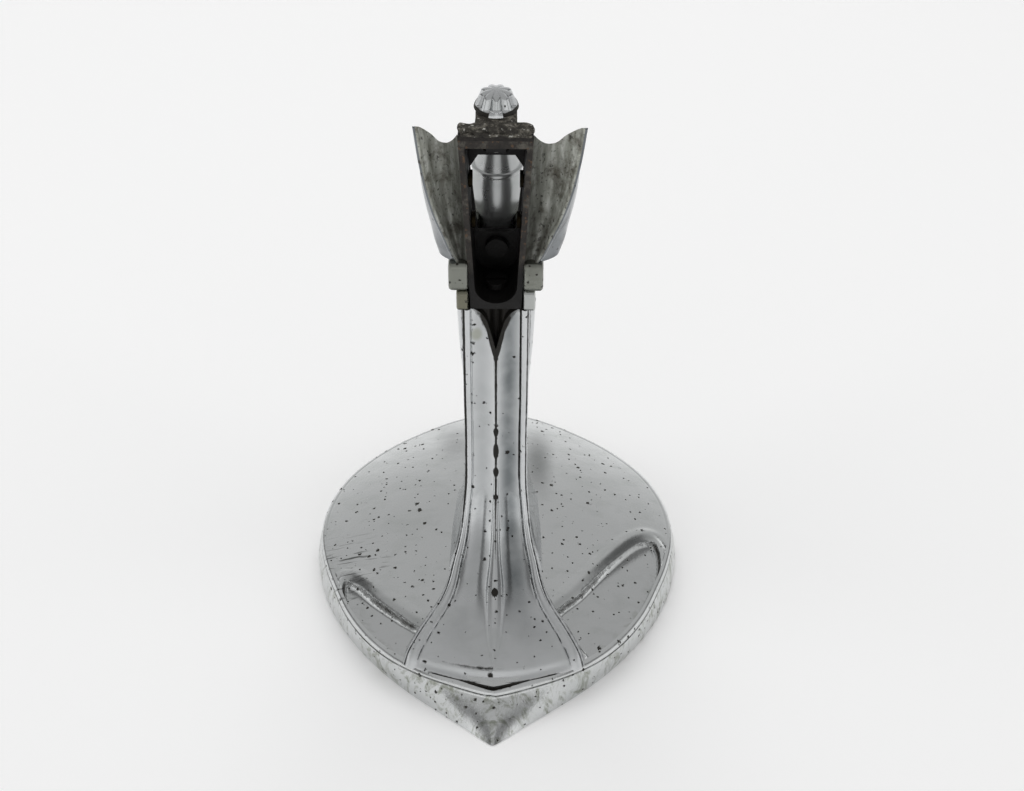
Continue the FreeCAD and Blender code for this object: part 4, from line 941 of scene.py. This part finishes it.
# Eight flutes take the half turns of a sine over the whole wall but the tab's share; the rear is at three quarters
FLUTE_TURNS = 4.5
FLUTE_SHIFT = 0.32
REAR = 1.5 * math.pi
TAB_HALF = 0.3
cap_chrome = chrome("chromed_cap_nut", "C6C8C9", [(1.6, 0.4, 0.15)], (0.1, 0.2), relief_mm=0.1, bare="26241F")


def fluted(radius, height, around):
    """Eight scooped flutes between ridges on the bell's wall, fading at the foot, and one flat tab at the rear."""
    wall_share = step(120.75, 121.1, height)
    scoop = 1 - np.abs(np.sin(FLUTE_TURNS * (around - REAR + FLUTE_SHIFT))) ** 1.3
    tab = (np.abs(around - REAR) < TAB_HALF) * step(120.1, 120.3, height) * (1 - step(121.2, 121.4, height))
    return radius * (1 - 0.2 * wall_share * scoop) + 0.5 * tab


crown = np.linspace(0, math.pi / 2 - 0.02, 16)
cap_z = np.concatenate([[120.05, 120.05], np.linspace(120.15, 120.85, 6), np.linspace(120.95, 122.75, 22),
                        122.75 + 0.93 * np.sin(crown[1:])])
cap_r = np.concatenate([[2.1, 4.15], np.linspace(4.25, 4.0, 6), np.linspace(3.95, 3.2, 22),
                        3.2 * np.cos(crown[1:])])
cap_around = np.linspace(0, 2 * math.pi, 192, endpoint=False)[None]
flute_dirt = bump(0.0, 0.16, np.sin(FLUTE_TURNS * (cap_around - REAR + FLUTE_SHIFT)))
flute_dirt = flute_dirt * step(120.75, 121.2, cap_z)[:, None]
foot_dirt = 0.9 * (1 - step(120.7, 121.0, cap_z))[:, None] * (np.abs(cap_around - REAR) > FLUTE_SHIFT)
cap = turned("fluted_cap", 0, CAP_Y, cap_r, cap_z, 192, cap_chrome, sharp=40.0, flute=fluted,
             dirt=0.6 * flute_dirt + foot_dirt)
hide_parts("fluted_cap_nut")
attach(cap, "cap_nut")

# ----------
# The fasteners: zinc-plated steel screws, washers, nut, stud and inserts, and brass rivets. Their turned and cut
# shapes are right as they are, so they keep their solids.
def mottled(name, grain_mm, dark, light, smooth, rough):
    """A metal whose colour and roughness vary between two values each, by one noise of the grain's size."""
    made, tree, shader, place = material(name)
    mottle = add(tree, "TexNoise", place, Scale=1 / (grain_mm * MM), Detail=4.0)
    put(shader, Base_Color=add(tree, "ValToRGB", mottle, stops=[(0.35, dark), (0.7, light)]),
        Metallic=1.0, Roughness=add(tree, "MapRange", mottle, 0.0, 1.0, smooth, rough))
    return made


# Zinc plate has a soft grey shine, mottled by its crystals, and the rivets' brass is painted nearly black, the
# shade of the channel they sit in
steel = mottled("zinc_plated_steel", 1.2, "7E7F7C", "A9AAA6", 0.28, 0.5)
brass = mottled("brass_in_painted_shade", 1.0, "15120D", "2C261A", 0.55, 0.55)
# Those in the open channel take its finish, whose painted shade makes them near black
channelled = ["strut_screw", "channel_screw", "stud_nut", "stud_washer"]
plated = [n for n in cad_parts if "screw" in n or "insert" in n or n == "cap_stud"]
refinish(channelled, zinc)
refinish([n for n in plated if n not in channelled], steel)
refinish([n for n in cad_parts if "rivet" in n], brass)
